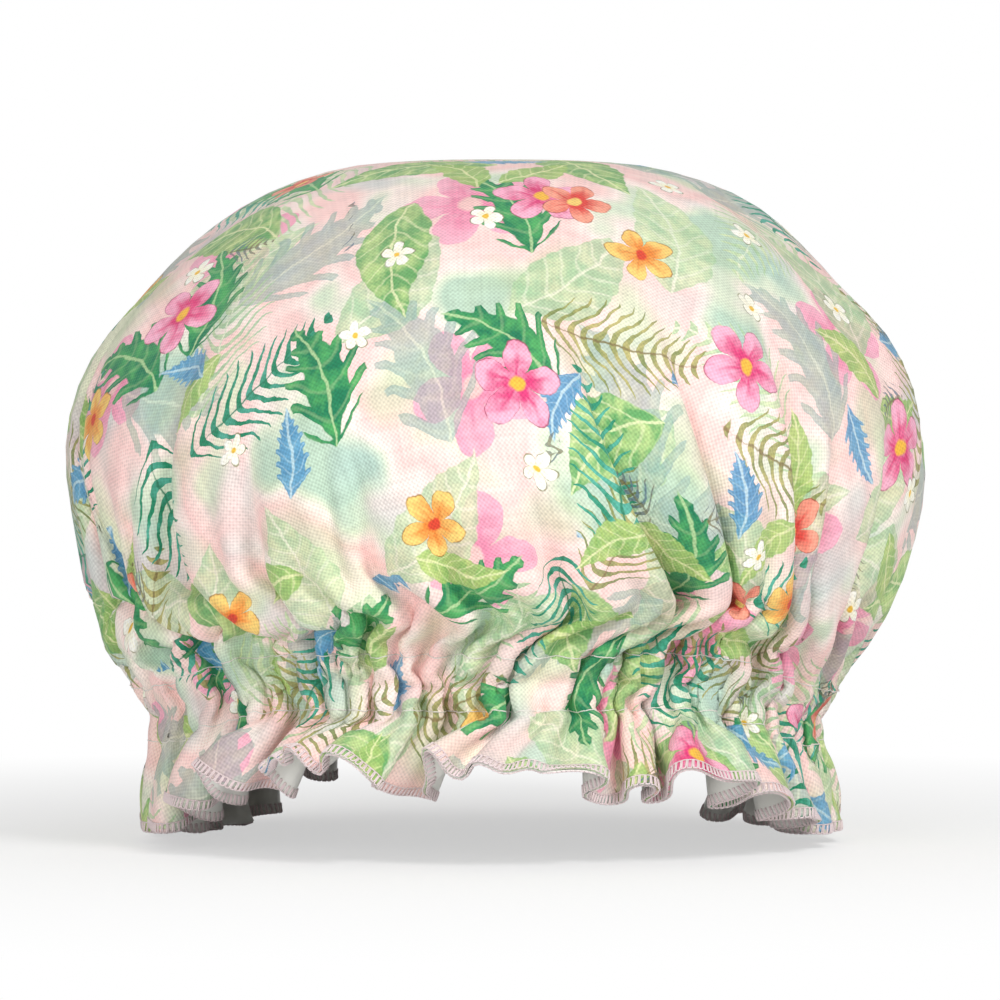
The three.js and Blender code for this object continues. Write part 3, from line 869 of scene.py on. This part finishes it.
# %% Colours and nodes
def linear(hex_colour):
    """An sRGB colour as 0xRRGGBB, turned to the linear values that a shader takes."""
    channels = np.array([hex_colour >> 16 & 255, hex_colour >> 8 & 255, hex_colour & 255]) / 255
    low = channels <= 0.04045
    return (*np.where(low, channels / 12.92, ((channels + 0.055) / 1.055) ** 2.4), 1.0)


def add_node(tree, kind, *inputs, **settings):
    """Adds one shader node. Inputs, in order, are links or plain values, and None leaves one as it
    is. Settings are properties of the node, and those with a capital are sockets by name."""
    fresh = tree.nodes.new("ShaderNode" + kind)
    wanted = []
    for name, value in settings.items():
        if name[0].isupper():
            wanted.append((fresh.inputs[name.replace("_", " ")], value))
        else:
            setattr(fresh, name, value)
    wanted += zip(fresh.inputs, inputs)
    for socket, value in wanted:
        if isinstance(value, bpy.types.Node):
            value = value.outputs[0]
        if isinstance(value, bpy.types.NodeSocket):
            tree.links.new(value, socket)
        elif value is not None:
            socket.default_value = value
    return fresh


def new_material(name, roughness, colour=None):
    """A material with its shader, and the function that adds a node to it."""
    material = bpy.data.materials.new(name)
    material.use_nodes = True
    shader = material.node_tree.nodes["Principled BSDF"]
    shader.inputs["Roughness"].default_value = roughness
    if colour is not None:
        shader.inputs["Base Color"].default_value = linear(colour)
        material.diffuse_color = linear(colour)
    return material, shader.inputs, partial(add_node, material.node_tree)


print("middle grey as linear light:", round(float(linear(0x808080)[0]), 3))

# %% [markdown]
# The cover is linen: a plain weave of slightly uneven threads, matt, with a print that has soaked
# in. The print is a design of this file's own, in the colours and at the
# scale of the real one: washes of pink, mint and grey-blue, and over them leaves, fronds and
# flowers as with a brush. It lives on the flat cut, so it runs through every pleat as real print
# does. One pattern scatters a motif: the cloth is cut into cells, and in each the motif is seen
# from the cell's own point, with its own turn and its own chance of being there.

# %% Places for a motif
printed_linen, linen_shader, ink = new_material("printed plain-weave linen", 0.85)
cut_map = ink("UVMap", uv_map="OFBake")
map_to_mm = CUT_RADIUS / MAP_SHARE
centred = ink("VectorMath", cut_map, (0.5, 0.5, 0), operation="SUBTRACT")
flat_cloth = ink("VectorMath", centred, operation="SCALE", Scale=map_to_mm)
# A hand's unsteadiness: the print is drawn on a cloth that is shifted to and fro by a millimetre
UNSTEADY_SIZE, UNSTEADY_SHIFT = 9.0, 3.4
unsteady = ink("TexNoise", flat_cloth, noise_dimensions="2D", Scale=1 / UNSTEADY_SIZE, Detail=3.0)
shift = ink("VectorMath", unsteady.outputs["Color"], (0.5, 0.5, 0.5), operation="SUBTRACT")
drawn_cloth = ink("VectorMath", shift, (UNSTEADY_SHIFT, UNSTEADY_SHIFT, 0), flat_cloth,
                  operation="MULTIPLY_ADD")

# Dabs of a loaded brush, where the paint of a motif is thicker or thinner
DAB_SIZE = 7.0
dabs_noise = ink("TexNoise", drawn_cloth, noise_dimensions="2D", Scale=1 / DAB_SIZE, Detail=4.0,
                 Roughness=0.6)
dabs = ink("MapRange", dabs_noise, 0.34, 0.64, -0.5, 0.5)


def scattered(cell, seed, jitter):
    """The cloth as seen from the nearest point of a jittered grid of cells, in millimetres and
    turned at random, with three random values for the cell."""
    place = ink("VectorMath", drawn_cloth, (1 / cell,) * 3, (seed * 7.31, seed * 3.17, 0),
                operation="MULTIPLY_ADD")
    cells = ink("TexVoronoi", place, voronoi_dimensions="2D", Scale=1.0, Randomness=jitter)
    apart = ink("VectorMath", place, cells.outputs["Position"], operation="SUBTRACT")
    real = ink("VectorMath", apart, operation="SCALE", Scale=cell)
    chance = ink("SeparateColor", cells.outputs["Color"]).outputs
    turn_angle = ink("Math", chance[0], 2 * np.pi, operation="MULTIPLY")
    seen = ink("VectorRotate", real, rotation_type="Z_AXIS", Angle=turn_angle)
    return seen, chance


def painted(paint, colour, mask, chance, share, strength=1.0):
    """Paint over what is there, where the mask is and in a share of the cells."""
    there = ink("Math", chance, share, operation="LESS_THAN")
    strong = ink("Math", there, strength, operation="MULTIPLY")
    amount = ink("Math", mask, strong, operation="MULTIPLY")
    return ink("MixRGB", amount, paint, colour)


print("one unit of the map is", round(map_to_mm, 1), "mm of cloth")

# %% Washes of the ground
WASH_SIZE, PATCH_SIZE = 46.0, 34.0


def ground_wash():
    """Broad soft patches of pink, cream, mint and grey-blue, by two noises of some centimetres."""
    broad = ink("TexNoise", flat_cloth, noise_dimensions="2D", Scale=1 / WASH_SIZE, Detail=2.0)
    wash = ink("ValToRGB", broad)
    ramp = wash.color_ramp
    stops = [(0.31, 0xBBD3BE), (0.37, 0xDDE6CE), (0.43, 0xFBEAE2), (0.51, 0xFCD3CE), (0.6, 0xFBE0D8),
             (0.68, 0xE4E6CA)]
    for _ in range(len(stops) - 2):
        ramp.elements.new(0.5)
    for stop, (at, colour) in zip(ramp.elements, stops):
        stop.position, stop.color = at, linear(colour)
    cool = ink("VectorMath", flat_cloth, (31.0, 57.0, 0), operation="ADD")
    patches = ink("TexNoise", cool, noise_dimensions="2D", Scale=1 / PATCH_SIZE, Detail=1.5,
                  Roughness=0.5)
    blue = ink("MapRange", patches, 0.54, 0.74, 0.0, 0.5)
    ground = ink("MixRGB", blue, wash, linear(0xA9C8C8))
    green = ink("MapRange", patches, 0.42, 0.26, 0.0, 0.5)
    return ink("MixRGB", green, ground, linear(0xB4C79C))


print("washes of", WASH_SIZE, "mm, with patches of", PATCH_SIZE, "mm")

# %% [markdown]
# Leaves and flowers are drawn by formulas, because a painted image can't be part of the scene. A
# leaf is the region between two curves on either side of its rib, and slanted bands cut it into a
# frond or draw its veins, so one function gives broad leaves, torn ones and feathery fronds.

# %% Leaves
RIB = 0.55  # half width of the rib that a frond's leaflets grow from
# As shares of its half length or half width: how far a rib bows and how far its bands slant. And
# how much narrower a leaf is towards its tip
BOW, SLANT, TAPER = 0.22, -0.75, -0.4


def leaves(paint, cell, seed, share, size, notch, pitch, colours, jitter=0.6, strength=0.92):
    """A leaf in each cell. Half length and half width are its size, its rib bows with the square
    of the way along, its half width is one less that square, and less towards the tip. Slanted
    bands of a pitch cut notches into its sides, and are its veins where it has none."""
    half_length, half_wide = size
    seen, chance = scattered(cell, seed, jitter)
    place = ink("SeparateXYZ", seen).outputs
    t = ink("Math", place["Y"], 1 / half_length, operation="MULTIPLY")
    square = ink("Math", t, t, operation="MULTIPLY")
    bowed = ink("Math", square, BOW * half_length, place["X"], operation="MULTIPLY_ADD")
    side = ink("Math", bowed, operation="ABSOLUTE")
    body = ink("Math", 1.0, square, operation="SUBTRACT")
    taper = ink("Math", t, TAPER, 1.0, operation="MULTIPLY_ADD")
    shape = ink("Math", body, taper, operation="MULTIPLY")
    lean = ink("MapRange", side, 0.0, half_wide, 0.0, SLANT * half_wide,
               interpolation_type="SMOOTHSTEP")
    slanted = ink("Math", lean, place["Y"], operation="ADD")
    band_turn = ink("Math", slanted, 2 * np.pi / pitch, operation="MULTIPLY")
    band = ink("Math", band_turn, operation="SINE")
    notch_low, notch_high = 0.5 * notch - 0.5, 0.4 + 0.6 * notch
    notched = half_wide * (1 - notch) + RIB
    cut = ink("MapRange", band, notch_low, notch_high, notched, half_wide)
    reach = ink("Math", shape, cut, operation="MULTIPLY")
    inside = ink("Math", reach, side, operation="SUBTRACT")
    mask = ink("MapRange", inside, 0.0, 0.45, 0.0, 1.0)
    tone = ink("Math", chance[1], 0.5, 0.25, operation="MULTIPLY_ADD")
    depth = ink("Math", tone, dabs, operation="ADD")
    base = ink("MixRGB", depth, linear(colours[0]), linear(colours[1]))
    vein = ink("MapRange", band, 0.75, 1.0, 0.0, 0.55 * (1 - notch))
    veined = ink("MixRGB", vein, base, linear(colours[2]))
    rim = ink("MapRange", inside, 0.4, 0.16 * half_wide, 0.35, 0.0)
    rimmed = ink("MixRGB", rim, veined, linear(colours[1]))
    rib = ink("MapRange", side, 0.25, 0.6, 0.85, 0.0)
    ribbed = ink("MixRGB", rib, rimmed, linear(colours[2]))
    return painted(paint, ribbed, mask, chance[2], share, strength)


print("a rib bows by", BOW, "of its half length")

# %% Flowers
def flowers(paint, cell, seed, share, radius, petals, colours, outline=0.0, jitter=0.6):
    """A flower in each cell. Its petals reach out by the root of a cosine of the angle, its heart
    shades off with the radius, a line runs down each petal, and an eye sits in its middle."""
    seen, chance = scattered(cell, seed, jitter)
    place = ink("SeparateXYZ", seen).outputs
    reach = ink("VectorMath", seen, operation="LENGTH").outputs["Value"]
    bearing = ink("Math", place["Y"], place["X"], operation="ARCTAN2")
    petal_turn = ink("Math", bearing, petals / 2, operation="MULTIPLY")
    swing = ink("Math", petal_turn, operation="COSINE")
    lobe = ink("Math", ink("Math", swing, operation="ABSOLUTE"), 0.55, operation="POWER")
    rim = ink("Math", lobe, 0.72 * radius, 0.28 * radius, operation="MULTIPLY_ADD")
    inside = ink("Math", rim, reach, operation="SUBTRACT")
    mask = ink("MapRange", inside, 0.0, 0.35, 0.0, 1.0)
    heart = ink("MapRange", reach, 0.12 * radius, 0.75 * radius, 1.0, 0.0)
    dabbed = ink("Math", dabs, 0.7, heart, operation="MULTIPLY_ADD")
    petal = ink("MixRGB", dabbed, linear(colours[0]), linear(colours[1]))
    middle_line = ink("MapRange", lobe, 0.975, 1.0, 0.0, 1.0)
    near = ink("MapRange", reach, 0.35 * radius, 0.85 * radius, 0.8, 0.0)
    streak = ink("Math", middle_line, near, operation="MULTIPLY")
    streaked = ink("MixRGB", streak, petal, linear(colours[1]))
    broken = ink("MapRange", dabs, -0.35, 0.1, 0.25 * outline, outline)
    edge = ink("MapRange", inside, 0.3, 0.75, 1.0, 0.0)
    drawn = ink("Math", edge, broken, operation="MULTIPLY")
    outlined = ink("MixRGB", drawn, streaked, linear(colours[3]))
    eye = ink("MapRange", reach, 0.14 * radius, 0.2 * radius, 1.0, 0.0)
    whole = ink("MixRGB", eye, outlined, linear(colours[2]))
    return painted(paint, whole, mask, chance[2], share)


print("leaves and flowers can be drawn")

# %% The print, one layer over another
PALE_LEAF = (0xD4E0B2, 0x9CC496, 0xEAEED4)
GREY_LEAF = (0xA3B9A4, 0x8CABA8, 0xC9D8C2)
FRESH_LEAF = (0xBCD68A, 0x5FA45C, 0xE2E9B4)
DEEP_LEAF = (0x52AA62, 0x1C7A54, 0xB4D49C)
LIME_LEAF = (0xB9CF7A, 0x8FB866, 0xE4E8AE)
TEAL_FROND = (0x5CB4A0, 0x1F8560, 0x2C7C5C)
OLIVE_FROND = (0xB8AE68, 0x728444, 0x7C6630)
BLUE_MARK = (0x68A8CC, 0x4C90BC, 0xBFDCE6)
PENCIL = (0x8A7A44, 0x5C7488, 0x6E6440)
PINK_FLOWER = (0xF8B4CC, 0xDC3D78, 0xF1B944, 0x8C2444)
CORAL_FLOWER = (0xF6A48C, 0xDC463E, 0xF5CE74, 0x98341F)
ORANGE_FLOWER = (0xF9D278, 0xEA8838, 0xD8452E, 0x8A5A22)
ROSE_WASH = (0xF5B4C6, 0xEC8EAC, 0xF2C6C2, 0xD4708E)
WHITE_BLOSSOM = (0xFFFDF4, 0xFBF6DA, 0xF0C24A, 0x6E6C26)
# A layer of leaves has the size of its cells in millimetres, a seed, the share of cells that it is
# in, half length and half width, how deep its notches go, the pitch of its bands, and colours. A
# layer of flowers has a radius and a number of petals in place of the middle ones
paint = ground_wash()
paint = flowers(paint, 66, 1, 0.55, 20, 5, ROSE_WASH)
paint = leaves(paint, 54, 2, 0.65, (26, 12), 0.0, 7.0, PALE_LEAF, strength=0.75)
paint = leaves(paint, 66, 3, 0.5, (28, 16), 0.5, 9.0, GREY_LEAF, strength=0.65)
paint = leaves(paint, 70, 4, 0.5, (34, 17), 1.0, 4.6, PALE_LEAF, strength=0.85)
paint = leaves(paint, 72, 5, 0.55, (34, 15), 1.0, 4.2, OLIVE_FROND, strength=0.9)
paint = leaves(paint, 58, 6, 0.5, (24, 11), 0.0, 6.0, FRESH_LEAF)
paint = leaves(paint, 74, 7, 0.55, (31, 15), 1.0, 5.0, TEAL_FROND, strength=1.0)
paint = leaves(paint, 62, 8, 0.55, (22, 13), 0.55, 8.0, DEEP_LEAF, strength=1.0)
paint = leaves(paint, 44, 9, 0.4, (16, 6), 0.0, 4.5, LIME_LEAF)
paint = leaves(paint, 66, 10, 0.4, (13, 6), 0.4, 3.5, BLUE_MARK)
paint = leaves(paint, 52, 15, 0.4, (10, 6), 1.0, 2.6, PENCIL, strength=0.8)
paint = flowers(paint, 84, 11, 0.6, 14, 5, PINK_FLOWER, outline=0.9)
paint = flowers(paint, 96, 12, 0.5, 11, 5, ORANGE_FLOWER, outline=0.9)
paint = flowers(paint, 104, 13, 0.4, 11, 5, CORAL_FLOWER, outline=0.9)
paint = flowers(paint, 40, 14, 0.4, 5.6, 5, WHITE_BLOSSOM, outline=1.0)
print("print:", len(printed_linen.node_tree.nodes), "nodes")

# %% [markdown]
# Linen's threads are uneven: they thicken and thin, and each rises where it passes over another.
# Threads as meshes would need millions of faces, so two sines multiplied give the crossings, and
# two noises drawn out along the threads give the slubs. Real threads of this cloth lie about
# 0.55 mm apart, and they are drawn at 0.72 mm, so that they still show.

# %% The weave
THREAD_PITCH = 0.72
cloth_axes = ink("SeparateXYZ", flat_cloth).outputs
warp_turn = ink("Math", cloth_axes["X"], np.pi / THREAD_PITCH, operation="MULTIPLY")
weft_turn = ink("Math", cloth_axes["Y"], np.pi / THREAD_PITCH, operation="MULTIPLY")
warp_wave = ink("Math", warp_turn, operation="SINE")
weft_wave = ink("Math", weft_turn, operation="SINE")
crossing = ink("Math", warp_wave, weft_wave, operation="MULTIPLY")
# Threads thicken and thin along their length, so a noise is drawn out along each set
SLUB_WIDTH, SLUB_LENGTH = 0.9, 24.0
warp_slubs = ink("VectorMath", flat_cloth, (1 / SLUB_WIDTH, 1 / SLUB_LENGTH, 0),
                 operation="MULTIPLY")
weft_slubs = ink("VectorMath", flat_cloth, (1 / SLUB_LENGTH, 1 / SLUB_WIDTH, 0),
                 operation="MULTIPLY")
warp_noise = ink("TexNoise", warp_slubs, noise_dimensions="2D", Scale=1.0, Detail=1.0)
weft_noise = ink("TexNoise", weft_slubs, noise_dimensions="2D", Scale=1.0, Detail=1.0)
slubs = ink("Math", warp_noise, weft_noise, operation="ADD")
uneven = ink("MapRange", slubs, 0.7, 1.3, -0.07, 0.06)
# Paint soaks in unevenly, in small blots and runs
BLOT_SIZE = 5.0
pigment = ink("TexNoise", flat_cloth, noise_dimensions="2D", Scale=1 / BLOT_SIZE, Detail=5.0,
              Roughness=0.65)
soaked = ink("MapRange", pigment, 0.35, 0.65, -0.04, 0.04)
# The crossings lighten and darken the print as well as raising the bump: painted light and shade of
# the raised threads. The slubs and the blots are the cloth's own uneven tone.
texture = ink("Math", crossing, 0.14, uneven, operation="MULTIPLY_ADD")
weave_shade_and_tone = ink("Math", ink("Math", texture, soaked, operation="ADD"), 1.0, operation="ADD")
woven = ink("VectorMath", paint, weave_shade_and_tone, operation="MULTIPLY")
bump = ink("Bump", Strength=0.5, Distance=0.9 * millimetre, Height=texture)
printed_linen.node_tree.links.new(woven.outputs[0], linen_shader["Base Color"])
printed_linen.node_tree.links.new(bump.outputs[0], linen_shader["Normal"])
linen_shader["Sheen Weight"].default_value = 0.12
linen_shader["Sheen Roughness"].default_value = 0.6
linen_shader["Specular IOR Level"].default_value = 0.25
print("weave:", THREAD_PITCH, "mm from thread to thread")

# %% [markdown]
# The lining is a thin soft film, whitish and faintly glossy, which crinkles a little. The elastic
# is braided, so ribs run along it and fine rows across it. Sewing thread is twisted from plies, and
# the overlock's yarn is fuzzier and pink.

# %% Film, elastic and threads
CRINKLE_SIZE = 6
lining_film, film_shader, film = new_material("waterproof film", 0.42, 0xE9E8E2)
film_place = film("TexCoord").outputs["Object"]
film_noise = film("TexNoise", film_place, Scale=1 / (CRINKLE_SIZE * millimetre), Detail=3.0)
film_bump = film("Bump", Strength=0.3, Distance=0.5 * millimetre, Height=film_noise)
lining_film.node_tree.links.new(film_bump.outputs[0], film_shader["Normal"])


def ribbed_material(name, colour, roughness, pitch, slope):
    """Plies or ribs round a thread or strip: a wave of a pitch along it, which turns as it goes."""
    material, shader, fibre = new_material(name, roughness, colour)
    run = fibre("UVMap", uv_map="along_and_round")
    axes = fibre("SeparateXYZ", run).outputs
    along_turn = fibre("Math", axes["X"], 2 * np.pi / pitch, operation="MULTIPLY")
    both = fibre("Math", axes["Y"], 2 * np.pi * slope, along_turn, operation="MULTIPLY_ADD")
    rib = fibre("Math", both, operation="SINE")
    # Each groove between plies or ribs is darker, down to 0.88 of the colour: painted shade, along
    # with the bump
    tone = fibre("MapRange", rib, -1.0, 1.0, 0.88, 1.0)
    shaded = fibre("VectorMath", linear(colour)[:3], tone, operation="MULTIPLY")
    bump = fibre("Bump", Strength=0.6, Distance=0.1 * millimetre, Height=rib)
    material.node_tree.links.new(shaded.outputs[0], shader["Base Color"])
    material.node_tree.links.new(bump.outputs[0], shader["Normal"])
    return material


elastic_braid = ribbed_material("braided elastic", 0xF4F3EE, 0.85, 0.8, 8)
seam_thread = ribbed_material("spun polyester thread", 0xF4EFE9, 0.7, 0.6, 1)
overlock_yarn = ribbed_material("textured overlock yarn", 0xFDEBEC, 0.75, 0.5, 1)
finishes = (lining_film, elastic_braid, seam_thread, overlock_yarn)
print("finishes:", [finish.name for finish in finishes])

# %% [markdown]
# The cap stands on pale paper. A lit white plane alone would turn grey away from the cap, and more
# light would bleach the print. So the paper glows white for the camera alone, fully away from the
# cap, and near the cap still at 0.55 over a lit surface: painted light that lightens the cap's
# shadow.

# %% Paper for the floor
# Away from the cap the paper shows as plain white to the camera, also in gloss and through glass,
# and near it as a lit surface under a glow of at least 0.55: painted light that lightens its shadow
pale_paper, _, paper = new_material("pale paper", 0.9, 0xFFFFFF)
paper_place = paper("VectorMath", paper("TexCoord").outputs["Object"], operation="LENGTH")
NEAR_CAP, FAR_FROM_CAP = 0.12, 0.4  # metres from the middle of the cap
LEAST_GLOW = 0.55
away_from_cap = paper("MapRange", paper_place.outputs["Value"], NEAR_CAP, FAR_FROM_CAP,
                      LEAST_GLOW, 1.0)


def seen_at_all(add):
    """1 for the rays that show a surface to the camera, by themselves, in gloss or through glass."""
    rays = add("LightPath").outputs
    seen_or_glossy = add("Math", rays["Is Camera Ray"], rays["Is Glossy Ray"], operation="MAXIMUM")
    return add("Math", seen_or_glossy, rays["Is Transmission Ray"], operation="MAXIMUM")


whiteness = paper("Math", away_from_cap, seen_at_all(paper), operation="MULTIPLY")
paper_glow = paper("Emission", linear(0xFFFFFF), 1.0)
paper_nodes = pale_paper.node_tree.nodes
paper_mix = paper("MixShader", whiteness, paper_nodes["Principled BSDF"], paper_glow)
pale_paper.node_tree.links.new(paper_mix.outputs[0], paper_nodes["Material Output"].inputs[0])
print("paper:", len(paper_nodes), "nodes")

# %% [markdown]
# Each piece stands in for the imported solid of the same piece, which is hidden, rides on the cap's
# one body, and takes the finish listed with it.

# %% What each piece stands for
finished = [
    (cover, "outer_cover", "printed_linen", printed_linen),
    (lining, "waterproof_lining", "lining_membrane", lining_film),
    (elastic, "elastic_band", "braided_elastic", elastic_braid),
    (join_stitches, "elastic_join_stitches", "pale_thread", seam_thread),
    (upper_needle, "casing_upper_needle_thread", "pale_thread", seam_thread),
    (upper_bobbin, "casing_upper_bobbin_thread", "pale_thread", seam_thread),
    (lower_needle, "casing_lower_needle_thread", "pale_thread", seam_thread),
    (lower_bobbin, "casing_lower_bobbin_thread", "pale_thread", seam_thread),
    (upper_looper, "edge_overlock_upper_looper", "pink_thread", overlock_yarn),
    (lower_looper, "edge_overlock_lower_looper", "pink_thread", overlock_yarn),
    (overlock_needle, "edge_overlock_needle_thread", "pink_thread", overlock_yarn),
]
for piece, node, slot, material in finished:
    piece.data.materials.append(material)
    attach(piece, "root")
    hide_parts(node)
print("pieces:", len(finished))

# %% [markdown]
# The photograph was taken from nearly level, from far enough away that the sides of the cap run
# almost parallel, against white. A soft lamp at the upper right gives the folds their shade, and a
# weaker and lower one at the left fills it, with a pale surround. The floor is one large sheet, and
# beyond it the surround is plain white to the camera, so no horizon shows from any side.


# %% Stage
def pale_floor(half_side):
    """A level square under the cap, from half its side in metres."""
    corners = half_side * np.array([(-1, -1, 0), (1, -1, 0), (1, 1, 0), (-1, 1, 0)])
    mesh = bpy.data.meshes.new("floor")
    mesh.from_pydata(corners.tolist(), [], [(0, 1, 2, 3)])
    piece = bpy.data.objects.new("floor", mesh)
    bpy.context.scene.collection.objects.link(piece)
    return piece


floor = pale_floor(6.0)
floor.data.materials.append(pale_paper)
print("floor:", round(floor.dimensions.x), "m wide")


# %% Light
def soft_lamp(name, place, size, power):
    """A square lamp that faces the middle of the cap."""
    lamp = bpy.data.lights.new(name, "AREA")
    lamp.energy, lamp.size = power, size
    piece = bpy.data.objects.new(name, lamp)
    piece.location = place
    aim = Vector((0, 0, crown_height * millimetre / 2)) - piece.location
    piece.rotation_euler = aim.to_track_quat("-Z", "Y").to_euler()
    bpy.context.scene.collection.objects.link(piece)


# Places and sizes in metres, power in watts
soft_lamp("key", (0.75, -1.4, 1.25), 0.5, 21)
soft_lamp("fill", (-0.8, -1.75, 0.5), 0.8, 11.5)
SURROUND_STRENGTH = 0.35
world = bpy.data.worlds.new("soft surround")
bpy.context.scene.world = world
world.use_nodes = True
sky = partial(add_node, world.node_tree)
sky_shader = world.node_tree.nodes["Background"].inputs
sky_shader["Color"].default_value = linear(0xFFFFFF)
sky_strength = sky("MapRange", seen_at_all(sky), 0.0, 1.0, SURROUND_STRENGTH, 1.0)
world.node_tree.links.new(sky_strength.outputs[0], sky_shader["Strength"])
print("lamps:", len(bpy.data.lights))

# %% Camera
# Metres from the cap's middle, radians above level, and the width in metres that fills the frame
camera_distance, camera_elevation, frame_width = 2.4, np.radians(2.0), 0.292
SENSOR_WIDTH = 36
camera_data = bpy.data.cameras.new("camera")
camera_data.sensor_width = SENSOR_WIDTH
camera_data.lens = SENSOR_WIDTH * camera_distance / frame_width
camera = bpy.data.objects.new("camera", camera_data)
# The middle of the photograph lies 0.3 mm to the right of the cap's middle, and 99.3 mm up
camera_aim = np.array([0.0003, 0, 0.0993])
view_back = np.array([0, -np.cos(camera_elevation), np.sin(camera_elevation)])
camera.location = camera_aim + camera_distance * view_back
camera.rotation_euler = (np.pi / 2 - camera_elevation, 0, 0)
bpy.context.scene.collection.objects.link(camera)
bpy.context.scene.camera = camera
bpy.context.scene.view_settings.view_transform = "Standard"
print("lens:", round(camera_data.lens, 1), "mm")
